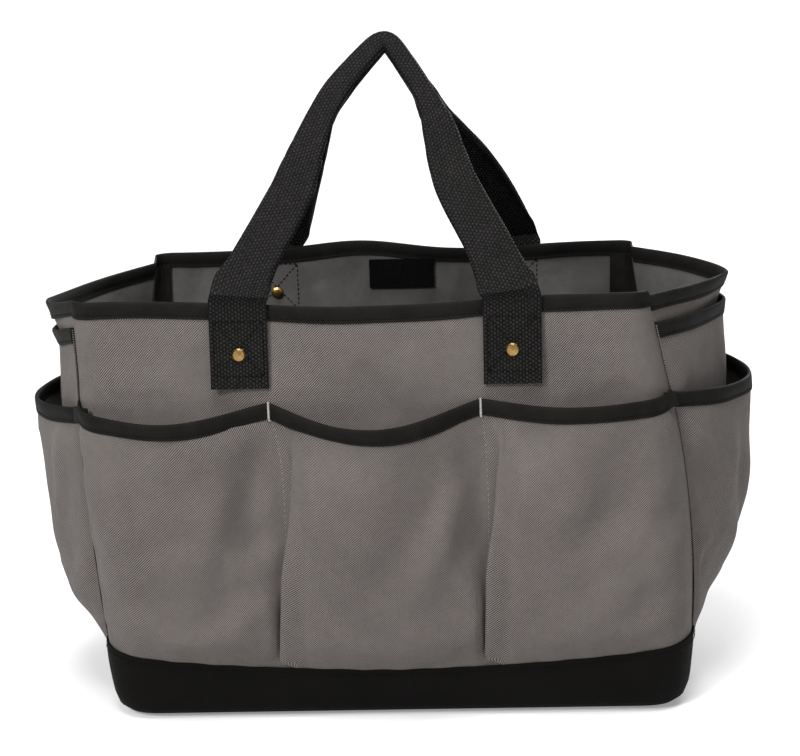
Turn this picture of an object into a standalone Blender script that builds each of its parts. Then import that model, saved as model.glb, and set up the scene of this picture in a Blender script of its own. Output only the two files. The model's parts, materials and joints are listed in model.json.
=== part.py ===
"""Open-top garden tool bag: a stiff black base, four grey fabric walls, pockets all round
and two webbing handles that fold outwards.

Metres, +Z up. The origin is the middle of the underside, the front of the bag faces -Y.
The walls are described by their middle surface: plan curves between four sewn corners,
which change with height. Every layer outside or inside a wall is an offset of that surface.
"""
from math import cos, pi, sin

import bmesh
import bpy
from mathutils import Matrix, Vector

# Driving dimensions ------------------------------------------------------------------------
FABRIC = 0.0012            # wall and pocket cloth, with its coating
TAPE = 0.0008              # binding tape and seam tape
WEBBING = 0.0016           # handle webbing, flat
GAP = 0.0003               # clearance between neighbouring pieces
SEAM_GAP = 0.0007          # each piece stops this far short of a corner seam

RIM_BINDING_DEPTH = 0.0105
POCKET_BINDING_DEPTH = 0.0105
BINDING_ROOM = 0.0005      # clearance between a binding's leg and the cloth in it
BINDING_MARGIN = 0.001     # a panel's flat top row is this much deeper than its binding

WALL_TURN = 0.053          # the walls stand straight up to here, inside the boot

# Sewn corners of the walls: (height, x, y), from the base to the rim. The mouth sits a
# little to the left of the base at the front, because the soft bag leans that way.
CORNERS = {
    "front_left": ((0.0, -0.198, -0.106), (WALL_TURN, -0.198, -0.106),
                   (0.15, -0.203, -0.106), (0.293, -0.205, -0.100)),
    "front_right": ((0.0, 0.198, -0.106), (WALL_TURN, 0.198, -0.106),
                    (0.15, 0.189, -0.106), (0.292, 0.163, -0.100)),
    "back_right": ((0.0, 0.198, 0.106), (WALL_TURN, 0.198, 0.106),
                   (0.15, 0.189, 0.106), (0.292, 0.172, 0.100)),
    "back_left": ((0.0, -0.198, 0.106), (WALL_TURN, -0.198, 0.106),
                  (0.15, -0.192, 0.106), (0.290, -0.176, 0.100)),
}
CORNER_RADII = ((0.0, 0.032), (WALL_TURN, 0.032), (0.15, 0.024), (0.293, 0.007))
CORNER_SHARE = 0.08        # part of a long wall's u that turns each corner
LONG_WIDTH = 0.40          # a long wall's width, for gaps given as shares of it

# Outermost x of each end wall at half depth, by height
LEFT_APEX = ((0.0, -0.206), (WALL_TURN, -0.206), (0.13, -0.220), (0.21, -0.229),
             (0.256, -0.2325), (0.276, -0.244))
RIGHT_APEX = ((0.0, 0.206), (WALL_TURN, 0.206), (0.13, 0.218), (0.21, 0.225),
              (0.266, 0.2265), (0.286, 0.234))
# Exponents of an end wall's plan by height: (height, front half, back half)
END_ROUNDNESS = ((0.0, 2.2, 2.2), (WALL_TURN, 2.2, 2.2), (0.15, 2.0, 2.0), (0.29, 1.25, 1.85))
WALL_BELLY = 0.004         # how far a long wall bows out at half height
BELLY_FOOT = 0.055         # the walls are straight below this height
BELLY_HEIGHT = 0.23

RIM = {"front_left": 0.292, "front_right": 0.291, "back_right": 0.291, "back_left": 0.288}
FRONT_RIM_SAG = 0.006      # dip left of the middle of the front rim
BACK_RIM_RISE = 0.005      # rise left of the middle of the back rim
END_RIM_STEP = {"front_left": 0.0, "front_right": 0.003, "back_right": 0.004, "back_left": 0.006}
LEFT_RIM_DIP = 0.0115
RIGHT_RIM_DIP = 0.0025
WALL_FOOT = 0.022          # the walls start this high, inside the boot

BOOT_WALL = 0.0016
BOOT_HEIGHT = 0.037        # at the middle of the long sides
BOOT_CORNER_RISE = 0.014   # extra height at the ends
BOOT_HALF_LENGTH = 0.20    # x at which it has risen that much
BOOT_PLAN_Z = 0.03         # the boot follows the walls' plan at this height
# Boot profile: (height, offset from the wall's middle surface), outside and inside
BOOT_OUTSIDE = ((0.0, -0.0175), (0.0025, -0.0078), (0.0070, -0.0023),
                (0.0140, 0.0016), (0.0205, 0.0025))
BOOT_INSIDE = ((0.0205, 0.0009), (0.0145, -0.0002), (0.0085, -0.0035),
               (0.0045, -0.0088), (0.0020, -0.0180))
BOARD_INSET = 0.0200
BOARD_BOTTOM = 0.0024
BOARD_THICKNESS = 0.003

# Long-side pockets
POCKET_BASE = 0.0034       # the pocket cloth lies this far outside the wall's middle
POCKET_EDGE = 0.0046       # part of a pouch's width left free at each stitch line
# x of both stitch lines, at the base and at the lip
DIVIDERS = {"front": ((-0.078, -0.081), (0.061, 0.058)), "back": ((0.070, 0.062), (-0.070, -0.068))}
POCKET_LIP = 0.2235
POCKET_SAG = {"front": (0.004, 0.012, 0.003), "back": (0.004, 0.009, 0.005)}
POCKET_BULGE = {"front": (0.020, 0.026, 0.016), "back": (0.018, 0.023, 0.018)}
POCKET_FILLING = 0.8       # below 1 the pouch bulges sooner above the base

# End pockets
TALL_DROP = 0.0185         # from the rim down to the tall pocket's lip
TALL_FOOT = 0.060
TALL_BULGE = 0.0095
TALL_TIGHTENING = 0.55     # how much of that bulge is lost again at the lip
TALL_MARGIN = 0.014        # part of the end wall's width left free at each seam
LOW_BASE = 0.0066
LOW_LIP = {"left_end": 0.2185, "right_end": 0.2215}
LOW_SAG = {"left_end": 0.0085, "right_end": 0.0070}
LOW_BULGE = 0.0300
LOW_ROUNDNESS = 0.9        # below 1 the pocket's plan is fuller at its sides
LOW_FILLING = 0.3          # the pocket is full above this part of its height
LOW_TIGHTENING = 0.30      # how much of that bulge is lost again at the lip
LOW_MARGIN = 0.026

# Handles
STRAP_WIDTH = 0.038
STRAP_X = {"front": (-0.099, 0.0795), "back": (-0.091, 0.090)}
TAB_BOTTOM = 0.2345
TAB_RIVET_ROWS = (0.251, 0.265)    # rows of the tab below and above its rivet
TAB_BINDING_ROW = 0.2815           # from here up the tab lies over the rim binding
TAB_TOP = 0.2935
TAB_OFFSET = 0.0032        # the tab's middle, outside the wall's middle
HINGE_Y = 0.1054
HINGE_Z = 0.2958
GRIP_Y = 0.0075            # middle of each grip at the top
GRIP_Z = 0.4545
# Handle centre lines from the left hinge to the right one: (x, share of the rise, width, thickness)
FRONT_HANDLE = (
    (-0.0975, 0.000, 0.038, 0.0016), (-0.0950, 0.050, 0.035, 0.0016), (-0.0865, 0.150, 0.030, 0.0018),
    (-0.0660, 0.367, 0.029, 0.0020), (-0.0570, 0.502, 0.025, 0.0030), (-0.0505, 0.606, 0.020, 0.0042),
    (-0.0365, 0.770, 0.017, 0.0055), (-0.0170, 0.912, 0.014, 0.0062), (-0.0010, 0.985, 0.012, 0.0062),
    (0.0125, 0.895, 0.012, 0.0062), (0.0285, 0.727, 0.015, 0.0055), (0.0340, 0.640, 0.021, 0.0042),
    (0.0445, 0.421, 0.028, 0.0024), (0.0645, 0.187, 0.030, 0.0018), (0.0730, 0.071, 0.033, 0.0016),
    (0.0780, 0.000, 0.038, 0.0016),
)
BACK_HANDLE = (
    (-0.0905, 0.000, 0.038, 0.0016), (-0.0840, 0.050, 0.035, 0.0016), (-0.0770, 0.150, 0.031, 0.0018),
    (-0.0665, 0.358, 0.029, 0.0022), (-0.0580, 0.494, 0.024, 0.0034), (-0.0485, 0.643, 0.019, 0.0045),
    (-0.0325, 0.773, 0.016, 0.0055), (-0.0120, 0.914, 0.013, 0.0062), (-0.0010, 0.968, 0.012, 0.0062),
    (0.0070, 0.905, 0.012, 0.0062), (0.0240, 0.740, 0.016, 0.0050), (0.0335, 0.616, 0.022, 0.0038),
    (0.0580, 0.410, 0.028, 0.0022), (0.0755, 0.215, 0.031, 0.0018), (0.0840, 0.074, 0.034, 0.0016),
    (0.0880, 0.000, 0.038, 0.0016),
)
HANDLE_STEPS = 3           # stations between two points of a handle's centre line
HANDLE_START = 0.0006      # the moving strap starts this far from its hinge axis

RIVET_Z = 0.257
RIVET_POST = 0.0020
RIVET_HEAD = 0.0046
RIVET_DOME = 0.0026
RIVET_CAP = 0.0014
RIVET_HOLE = 0.0024
RIVET_HOLE_Y = 0.103       # the walls are about here at the rivets
RIVET_CUT = 0.03           # length of the cutter, through the wall and the tab
RIVET_SEGMENTS = 14

PATCH_WIDTH = 0.049
PATCH_HEIGHT = 0.022
PATCH_THICKNESS = 0.0018
PATCH_X = 0.004
PATCH_TOP = {"front": 0.271, "back": 0.281}

SEAM_TAPE_SHARE = 0.029    # part of a long wall's u that each corner tape covers
SEAM_TAPE_BOTTOM = 0.060
SEAM_TAPE_DROP = 0.014     # from the rim down to the tape's top
SEAM_TAPE_TOP_ROW = 0.020
SEAM_TAPE_ROOM = 0.0006    # extra room inside the curve of a corner

LONG_COLUMNS = 12          # cells across the straight stretch of a long wall
END_COLUMNS = 8
WALL_ROWS = 7
POUCH_COLUMNS = 10
POCKET_ROWS = 6

WALLS = ("front", "right_end", "back", "left_end")
WALL_CORNERS = {
    "front": ("front_left", "front_right"),
    "right_end": ("front_right", "back_right"),
    "back": ("back_right", "back_left"),
    "left_end": ("back_left", "front_left"),
}


# Small mathematics -------------------------------------------------------------------------
def table(rows, height):
    """Values at a height, read in straight lines between (height, value, ...) rows."""
    if height <= rows[0][0]:
        return rows[0][1:]
    for low, high in zip(rows, rows[1:]):
        if height <= high[0]:
            share = (height - low[0]) / (high[0] - low[0])
            return tuple(a + (b - a) * share for a, b in zip(low[1:], high[1:]))
    return rows[-1][1:]


def mix(a, b, share):
    return a + (b - a) * share


def smooth(value):
    value = min(max(value, 0.0), 1.0)
    return value * value * (3.0 - 2.0 * value)


def spaced(count, first=0.0, last=1.0):
    """count + 1 evenly spaced values."""
    return [mix(first, last, i / count) for i in range(count + 1)]


# The walls' middle surface -----------------------------------------------------------------
def corner(name, height):
    return Vector(table(CORNERS[name], height))


def apex(wall, height):
    return table(LEFT_APEX if wall == "left_end" else RIGHT_APEX, height)[0]


def seam_points(wall, height):
    """Where the sewn seams at both sides of a wall are, in plan."""
    radius = table(CORNER_RADII, height)[0]
    ends = []
    for name in WALL_CORNERS[wall]:
        side = "left_end" if name.endswith("left") else "right_end"
        start = corner(name, height)
        toward = Vector((apex(side, height), 0.0)) - start
        ends.append(start + toward.normalized() * radius)
    return ends


def plan(wall, u, height):
    """Point of a wall's plan curve; u runs from 0 to 1, anticlockwise seen from above."""
    start, end = seam_points(wall, height)
    if wall.endswith("_end"):
        point = start.lerp(end, u)
        depth = apex(wall, height) - (start.x + end.x) / 2
        front, back = table(END_ROUNDNESS, height)
        exponent = back if (u > 0.5) == (wall == "right_end") else front
        point.x += depth * (1.0 - abs(2.0 * u - 1.0) ** exponent)
        return point
    radius = table(CORNER_RADII, height)[0]
    first, last = (corner(name, height) for name in WALL_CORNERS[wall])
    along = (last - first).normalized()
    if u < CORNER_SHARE:
        t = u / CORNER_SHARE
        point = bend(start, first, first + along * radius, t)
    elif u > 1.0 - CORNER_SHARE:
        t = (1.0 - u) / CORNER_SHARE
        point = bend(end, last, last - along * radius, t)
    else:
        t = (u - CORNER_SHARE) / (1.0 - 2.0 * CORNER_SHARE)
        point = (first + along * radius).lerp(last - along * radius, t)
    rise = min(max((height - BELLY_FOOT) / BELLY_HEIGHT, 0.0), 1.0)
    belly = WALL_BELLY * sin(pi * rise) * sin(pi * u) ** 2
    point.y += belly if wall == "back" else -belly
    return point


def bend(a, b, c, t):
    """Quadratic curve from a to c, pulled to b."""
    return a * (1.0 - t) ** 2 + b * (2.0 * t * (1.0 - t)) + c * t ** 2


def outward(wall, u, height):
    """Unit vector out of the bag in plan, square to the wall."""
    step = 0.01
    tangent = plan(wall, min(u + step, 1.0), height) - plan(wall, max(u - step, 0.0), height)
    tangent.normalize()
    return Vector((tangent.y, -tangent.x))


def layer(wall, u, height, offset=0.0):
    """Point that lies offset outside a wall's middle surface."""
    point = plan(wall, u, height) + outward(wall, u, height) * offset
    return Vector((point.x, point.y, height))


def wall_width(wall, height, steps=24):
    points = [plan(wall, u, height) for u in spaced(steps)]
    return sum((b - a).length for a, b in zip(points, points[1:]))


def u_at_x(wall, x, height):
    """The u of a long wall where it crosses a given x, on its straight stretch."""
    radius = table(CORNER_RADII, height)[0]
    first, last = (corner(name, height) for name in WALL_CORNERS[wall])
    along = (last - first).normalized()
    start, end = first + along * radius, last - along * radius
    return mix(CORNER_SHARE, 1.0 - CORNER_SHARE, (x - start.x) / (end.x - start.x))


def rim_height(wall, u):
    """Height of a wall's top edge."""
    first, last = WALL_CORNERS[wall]
    ends = [RIM[name] - (END_RIM_STEP[name] if wall.endswith("_end") else 0.0) for name in (first, last)]
    height = mix(*ends, u)
    if wall == "front":
        return height - FRONT_RIM_SAG * sin(pi * u) ** 4
    if wall == "back":
        return height + BACK_RIM_RISE * sin(pi * u ** 0.75) ** 4
    dip = LEFT_RIM_DIP if wall == "left_end" else RIGHT_RIM_DIP
    return height - dip * sin(pi * u)


def boot_top(point):
    return BOOT_HEIGHT + BOOT_CORNER_RISE * min((point.x / BOOT_HALF_LENGTH) ** 2, 1.0)


# Solids ------------------------------------------------------------------------------------
def make_material(name, colour, roughness, metallic=0.0):
    material = bpy.data.materials.new(name)
    material.use_nodes = True
    shader = material.node_tree.nodes["Principled BSDF"]
    shader.inputs["Base Color"].default_value = (*colour, 1.0)
    shader.inputs["Roughness"].default_value = roughness
    shader.inputs["Metallic"].default_value = metallic
    return material


def make_object(name, vertices, faces, material, origin=(0.0, 0.0, 0.0)):
    """A mesh object whose origin is at a given point of the bag's frame."""
    origin = Vector(origin)
    mesh = bpy.data.meshes.new(name)
    mesh.from_pydata([Vector(v) - origin for v in vertices], [], faces)
    mesh.materials.append(material)
    mesh.update()
    part = bpy.data.objects.new(name, mesh)
    part.location = origin
    bpy.context.collection.objects.link(part)
    return part


def grid_normals(grid):
    """Outward normals of a grid of rows from bottom to top, columns anticlockwise."""
    rows, columns = len(grid), len(grid[0])
    normals = []
    for i in range(rows):
        line = []
        for j in range(columns):
            across = grid[i][min(j + 1, columns - 1)] - grid[i][max(j - 1, 0)]
            up = grid[min(i + 1, rows - 1)][j] - grid[max(i - 1, 0)][j]
            line.append(across.cross(up).normalized())
        normals.append(line)
    return normals


def sheet(name, grid, thickness, material):
    """A closed solid of even thickness whose middle runs through a grid of points."""
    normals = grid_normals(grid)
    rows, columns = len(grid), len(grid[0])
    vertices, faces = [], []
    for side in (0.5, -0.5):
        for line, line_normals in zip(grid, normals):
            vertices += [p + n * thickness * side for p, n in zip(line, line_normals)]
    back = rows * columns

    def at(i, j):
        return i * columns + j

    for i in range(rows - 1):
        for j in range(columns - 1):
            quad = (at(i, j), at(i, j + 1), at(i + 1, j + 1), at(i + 1, j))
            faces.append(quad)
            faces.append(tuple(back + k for k in reversed(quad)))
    border = [at(0, j) for j in range(columns - 1)]
    border += [at(i, columns - 1) for i in range(rows - 1)]
    border += [at(rows - 1, j) for j in range(columns - 1, 0, -1)]
    border += [at(i, 0) for i in range(rows - 1, 0, -1)]
    for a, b in zip(border, border[1:] + border[:1]):
        faces.append((b, a, back + a, back + b))
    return make_object(name, vertices, faces, material)


def sweep(name, sections, material, origin=(0.0, 0.0, 0.0)):
    """A closed solid through equal sections, each a list of points round its outline."""
    count = len(sections[0])
    vertices = [p for section in sections for p in section]
    faces = []
    for i in range(len(sections) - 1):
        for j in range(count):
            k = (j + 1) % count
            faces.append((i * count + j, i * count + k, (i + 1) * count + k, (i + 1) * count + j))
    last = (len(sections) - 1) * count
    if count == 8:
        for a, b, c, d in ((0, 1, 6, 7), (1, 2, 5, 6), (2, 3, 4, 5)):
            faces.append((d, c, b, a))
            faces.append((last + a, last + b, last + c, last + d))
    else:
        faces.append(tuple(reversed(range(count))))
        faces.append(tuple(range(last, last + count)))
    return make_object(name, vertices, faces, material, origin)


def binding(name, grid, depth, material):
    """Folded tape over the top edge of a sheet: a channel that opens downwards."""
    normals = grid_normals(grid)[-1]
    inner = FABRIC / 2 + BINDING_ROOM
    outer = inner + TAPE
    roof = GAP + TAPE
    profile = ((-outer, -depth), (-outer, roof), (outer, roof), (outer, -depth),
               (inner, -depth), (inner, GAP), (-inner, GAP), (-inner, -depth))
    sections = []
    for edge, below, normal in zip(grid[-1], grid[-2], normals):
        up = (edge - below).normalized()
        sections.append([edge + normal * out + up * rise for out, rise in profile])
    return sweep(name, sections, material)


def wall_grid(wall, us, offset, bottom, top, rows, top_drop):
    """Grid on an offset of a wall. bottom is a height and top a height as a function of u;
    the last row of cells is top_drop high, so that a binding finds it flat."""
    grid = []
    if bottom < WALL_TURN:
        grid.append([layer(wall, u, bottom, offset) for u in us])
        bottom = WALL_TURN
    for share in spaced(rows - 1):
        grid.append([layer(wall, u, mix(bottom, top(u) - top_drop, share), offset) for u in us])
    grid.append([layer(wall, u, top(u), offset) for u in us])
    return grid


def wall_columns(wall):
    """Columns of a wall's grid, closer together where a long wall turns its corners."""
    margin = SEAM_GAP / wall_width(wall, 0.2)
    if wall.endswith("_end"):
        return spaced(END_COLUMNS, margin, 1.0 - margin)
    arc = spaced(3, margin, CORNER_SHARE)[:-1]
    return arc + spaced(LONG_COLUMNS, CORNER_SHARE, 1.0 - CORNER_SHARE) + [1.0 - u for u in reversed(arc)]


# Shell -------------------------------------------------------------------------------------
def make_walls(cloth, tape):
    for wall in WALLS:
        us = wall_columns(wall)
        grid = wall_grid(wall, us, 0.0, WALL_FOOT, lambda u: rim_height(wall, u),
                         WALL_ROWS, RIM_BINDING_DEPTH + BINDING_MARGIN)
        panel = sheet(wall + "_panel", grid, FABRIC, cloth)
        if not wall.endswith("_end"):
            for x in STRAP_X[wall]:
                cut_rivet_hole(panel, wall, x)
        binding(wall.replace("_end", "") + "_rim_binding", grid, RIM_BINDING_DEPTH, tape)


def ring(height_of, offset):
    """Closed plan loop round the bag at an offset from the walls."""
    points = []
    for wall in WALLS:
        points += [plan(wall, u, BOOT_PLAN_Z) for u in wall_columns(wall)]
    count = len(points)
    loop = []
    for i, point in enumerate(points):
        tangent = points[(i + 1) % count] - points[i - 1]
        tangent.normalize()
        moved = point + Vector((tangent.y, -tangent.x)) * offset
        loop.append(Vector((moved.x, moved.y, height_of(moved))))
    return loop


def make_boot(material):
    loops = [ring(lambda p, z=height: z, offset) for height, offset in BOOT_OUTSIDE]
    loops.append(ring(boot_top, BOOT_OUTSIDE[-1][1]))
    loops.append(ring(boot_top, BOOT_INSIDE[0][1]))
    loops += [ring(lambda p, z=height: z, offset) for height, offset in BOOT_INSIDE]
    count = len(loops[0])
    vertices = [p for loop in loops for p in loop]
    faces = []
    for i in range(len(loops) - 1):
        for j in range(count):
            k = (j + 1) % count
            faces.append((i * count + j, i * count + k, (i + 1) * count + k, (i + 1) * count + j))
    last = (len(loops) - 1) * count
    vertices.append(Vector((0.0, 0.0, BOOT_OUTSIDE[0][0])))
    vertices.append(Vector((0.0, 0.0, BOOT_INSIDE[-1][0])))
    for j in range(count):
        k = (j + 1) % count
        faces.append((k, j, len(vertices) - 2))
        faces.append((last + j, last + k, len(vertices) - 1))
    return make_object("base_boot", vertices, faces, material)


def make_board(material):
    low = ring(lambda p: BOARD_BOTTOM, -BOARD_INSET)
    high = ring(lambda p: BOARD_BOTTOM + BOARD_THICKNESS, -BOARD_INSET)
    return sweep("base_board", [low, high], material)


def make_seam_tapes(material):
    """Tape that covers the raw edges inside each corner, on the long walls' side."""
    start = 2.0 * SEAM_GAP / LONG_WIDTH
    first = spaced(2, start, start + SEAM_TAPE_SHARE)
    last = [1.0 - u for u in reversed(first)]
    offset = -(FABRIC / 2 + GAP + TAPE + SEAM_TAPE_ROOM)
    for wall in ("front", "back"):
        for name, us in zip(WALL_CORNERS[wall], (first, last)):
            grid = wall_grid(wall, us, offset, SEAM_TAPE_BOTTOM,
                             lambda u: rim_height(wall, u) - SEAM_TAPE_DROP,
                             WALL_ROWS - 1, SEAM_TAPE_TOP_ROW)
            sheet(name + "_seam_tape", grid, TAPE, material)


# Pockets -----------------------------------------------------------------------------------
def edge_u(wall, side, height):
    """The u of a long wall at one of its four lines: its seams and the two stitch lines."""
    margin = 2.0 * SEAM_GAP / LONG_WIDTH
    if side == 0:
        return margin
    if side == 3:
        return 1.0 - margin
    low, high = DIVIDERS[wall][side - 1]
    return u_at_x(wall, mix(low, high, height / POCKET_LIP), height)


def pouch_u(wall, index, s, height):
    return mix(edge_u(wall, index, height), edge_u(wall, index + 1, height), s)


def foot_height(wall, u):
    """Where a pocket's cloth starts, just above the boot."""
    return boot_top(plan(wall, u, BOOT_PLAN_Z)) + 2.0 * GAP


def pouch_point(wall, index, s, v):
    """Point on a long-side pocket: s runs across one pouch, v from the boot to the lip."""
    lip = POCKET_LIP - POCKET_SAG[wall][index] * sin(pi * s)
    foot = foot_height(wall, pouch_u(wall, index, s, mix(BOOT_HEIGHT, lip, v)))
    height = mix(foot, lip, v)
    u = pouch_u(wall, index, s, height)
    fullness = sin(pi / 2 * v) ** POCKET_FILLING
    bulge = POCKET_BULGE[wall][index] * sin(pi * s) ** 2 * fullness
    return layer(wall, u, height, POCKET_BASE + bulge)


def pocket_rows():
    """Shares of the height, with a last flat row as deep as the binding."""
    lip_row = 1.0 - (POCKET_BINDING_DEPTH + BINDING_MARGIN) / (POCKET_LIP - BOOT_HEIGHT)
    return spaced(POCKET_ROWS - 1, 0.0, lip_row) + [1.0]


def make_long_pockets(wall, cloth, tape):
    names = ("left", "middle", "right") if wall == "front" else ("right", "middle", "left")
    lip_grid = [[], []]
    for index, side in enumerate(names):
        shares = spaced(POUCH_COLUMNS, POCKET_EDGE, 1.0 - POCKET_EDGE)
        grid = [[pouch_point(wall, index, s, v) for s in shares] for v in pocket_rows()]
        sheet(wall + "_pocket_" + side, grid, FABRIC, cloth)
        for line, source in zip(lip_grid, grid[-2:]):
            line += source
    binding(wall + "_pocket_binding", lip_grid, POCKET_BINDING_DEPTH, tape)


def tall_pocket_point(wall, u, v):
    height = mix(TALL_FOOT, rim_height(wall, u) - TALL_DROP, v)
    fullness = smooth(v * 2.5) * (1.0 - TALL_TIGHTENING * smooth(v * 2.0 - 1.0))
    bulge = TALL_BULGE * sin(pi * u) * fullness
    return layer(wall, u, height, POCKET_BASE + bulge)


def low_pocket_point(wall, u, v):
    lip = LOW_LIP[wall] - LOW_SAG[wall] * sin(pi * u)
    height = mix(foot_height(wall, u), lip, v)
    fullness = smooth(v / LOW_FILLING) * (1.0 - LOW_TIGHTENING * v)
    bulge = LOW_BULGE * sin(pi * u) ** LOW_ROUNDNESS * fullness
    return layer(wall, u, height, LOW_BASE + bulge)


def make_end_pockets(wall, cloth, tape):
    side = wall.replace("_end", "")
    kinds = (("tall", tall_pocket_point, TALL_MARGIN), ("low", low_pocket_point, LOW_MARGIN))
    for kind, point, margin in kinds:
        us = spaced(END_COLUMNS + 2, margin, 1.0 - margin)
        grid = [[point(wall, u, v) for u in us] for v in pocket_rows()]
        sheet(f"{side}_{kind}_pocket", grid, FABRIC, cloth)
        binding(f"{side}_{kind}_pocket_binding", grid, POCKET_BINDING_DEPTH, tape)


# Handles -----------------------------------------------------------------------------------
def cut_rivet_hole(part, wall, x):
    """Cuts the hole that a handle rivet passes through."""
    bm = bmesh.new()
    across = Matrix.Rotation(pi / 2, 4, "X")
    bmesh.ops.create_cone(bm, cap_ends=True, segments=12, radius1=RIVET_HOLE, radius2=RIVET_HOLE,
                          depth=RIVET_CUT, matrix=across)
    mesh = bpy.data.meshes.new("rivet_hole")
    bm.to_mesh(mesh)
    bm.free()
    cutter = bpy.data.objects.new("rivet_hole", mesh)
    cutter.location = (x, -RIVET_HOLE_Y if wall == "front" else RIVET_HOLE_Y, RIVET_Z)
    cutter.hide_render = True
    cutter.display_type = "WIRE"
    bpy.context.collection.objects.link(cutter)
    modifier = part.modifiers.new("rivet_hole", "BOOLEAN")
    modifier.operation = "DIFFERENCE"
    modifier.solver = "EXACT"
    modifier.object = cutter


def make_tab(wall, side, x, material):
    """The sewn end of a handle strap, flat on the wall and over its rim binding."""
    grid = []
    for height in (TAB_BOTTOM, *TAB_RIVET_ROWS, TAB_BINDING_ROW, TAB_TOP):
        us = sorted(u_at_x(wall, x + share * STRAP_WIDTH, height) for share in (-0.5, 0.0, 0.5))
        grid.append([layer(wall, u, height, TAB_OFFSET) for u in us])
    tab = sheet(f"{wall}_{side}_handle_tab", grid, WEBBING, material)
    cut_rivet_hole(tab, wall, x)


def make_rivet(wall, side, x, material):
    """Two-part rivet through the strap and the wall: domed head inside, low cap outside."""
    facing = -1.0 if wall == "front" else 1.0
    middle = layer(wall, u_at_x(wall, x, RIVET_Z), RIVET_Z)
    inner = -(FABRIC / 2 + 1.5 * GAP)
    outer = TAB_OFFSET + WEBBING / 2 + 1.5 * GAP
    profile = [(0.0, inner - RIVET_DOME), (RIVET_HEAD * 0.55, inner - RIVET_DOME * 0.85),
               (RIVET_HEAD * 0.9, inner - RIVET_DOME * 0.45), (RIVET_HEAD, inner), (RIVET_POST, inner),
               (RIVET_POST, outer), (RIVET_HEAD, outer), (RIVET_HEAD * 0.8, outer + RIVET_CAP * 0.8),
               (0.0, outer + RIVET_CAP)]
    vertices = [middle + Vector((0.0, facing * profile[0][1], 0.0))]
    for radius, along in profile[1:-1]:
        for k in range(RIVET_SEGMENTS):
            angle = 2.0 * pi * k / RIVET_SEGMENTS
            vertices.append(middle + Vector((radius * cos(angle), facing * along, radius * sin(angle))))
    vertices.append(middle + Vector((0.0, facing * profile[-1][1], 0.0)))
    faces = []
    last = len(vertices) - 1
    for k in range(RIVET_SEGMENTS):
        following = (k + 1) % RIVET_SEGMENTS
        faces.append((0, 1 + k, 1 + following))
        for ring_index in range(len(profile) - 3):
            a = 1 + ring_index * RIVET_SEGMENTS
            b = a + RIVET_SEGMENTS
            faces.append((a + k, b + k, b + following, a + following))
        a = last - RIVET_SEGMENTS
        faces.append((last, a + following, a + k))
    if wall == "front":
        faces = [tuple(reversed(face)) for face in faces]
    return make_object(f"{wall}_{side}_handle_rivet", vertices, faces, material)


def through(points, steps):
    """Smooth curve through rows of numbers, with a number of steps between two rows."""
    rows = []
    for i in range(len(points) - 1):
        p0, p1 = points[max(i - 1, 0)], points[i]
        p2, p3 = points[i + 1], points[min(i + 2, len(points) - 1)]
        for k in range(steps):
            t = k / steps
            rows.append([0.5 * (2 * b + (c - a) * t + (2 * a - 5 * b + 4 * c - d) * t * t
                                + (3 * b - a - 3 * c + d) * t ** 3)
                         for a, b, c, d in zip(p0, p1, p2, p3)])
    rows.append(list(points[-1]))
    return rows


def make_handle(wall, route, material):
    """A webbing loop in the plane from its hinge up to the grip, leaning over the mouth."""
    facing = -1.0 if wall == "front" else 1.0
    hinge = Vector((0.0, facing * HINGE_Y, HINGE_Z))
    rise = Vector((0.0, facing * (GRIP_Y - HINGE_Y), GRIP_Z - HINGE_Z))
    length = rise.length
    up = rise.normalized()
    sideways = Vector((1.0, 0.0, 0.0))
    normal = sideways.cross(up)
    rows = through(route, HANDLE_STEPS)
    flat = [Vector((x, max(share * length, HANDLE_START))) for x, share, width, thick in rows]
    sections = []
    for i, (x, share, width, thick) in enumerate(rows):
        if i in (0, len(rows) - 1):
            tangent = Vector((0.0, 1.0 if i == 0 else -1.0))
        else:
            tangent = (flat[i + 1] - flat[i - 1]).normalized()
        across = Vector((-tangent.y, tangent.x))
        section = []
        for side, level in ((-0.5, -0.5), (0.5, -0.5), (0.5, 0.5), (-0.5, 0.5)):
            spot = flat[i] + across * (side * width)
            section.append(hinge + sideways * spot.x + up * spot.y + normal * (level * thick))
        sections.append(section)
    return sweep(wall + "_handle", sections, material, hinge)


# Patches -----------------------------------------------------------------------------------
def make_patch(wall, name, material):
    """Hook-and-loop rectangle inside the mouth, just under the rim binding."""
    offset = -(FABRIC / 2 + GAP + PATCH_THICKNESS / 2)
    grid = []
    for height in spaced(2, PATCH_TOP[wall] - PATCH_HEIGHT, PATCH_TOP[wall]):
        us = sorted(u_at_x(wall, PATCH_X + share * PATCH_WIDTH, height) for share in (-0.5, 0.0, 0.5))
        grid.append([layer(wall, u, height, offset) for u in us])
    return sheet(name, grid, PATCH_THICKNESS, material)


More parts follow.
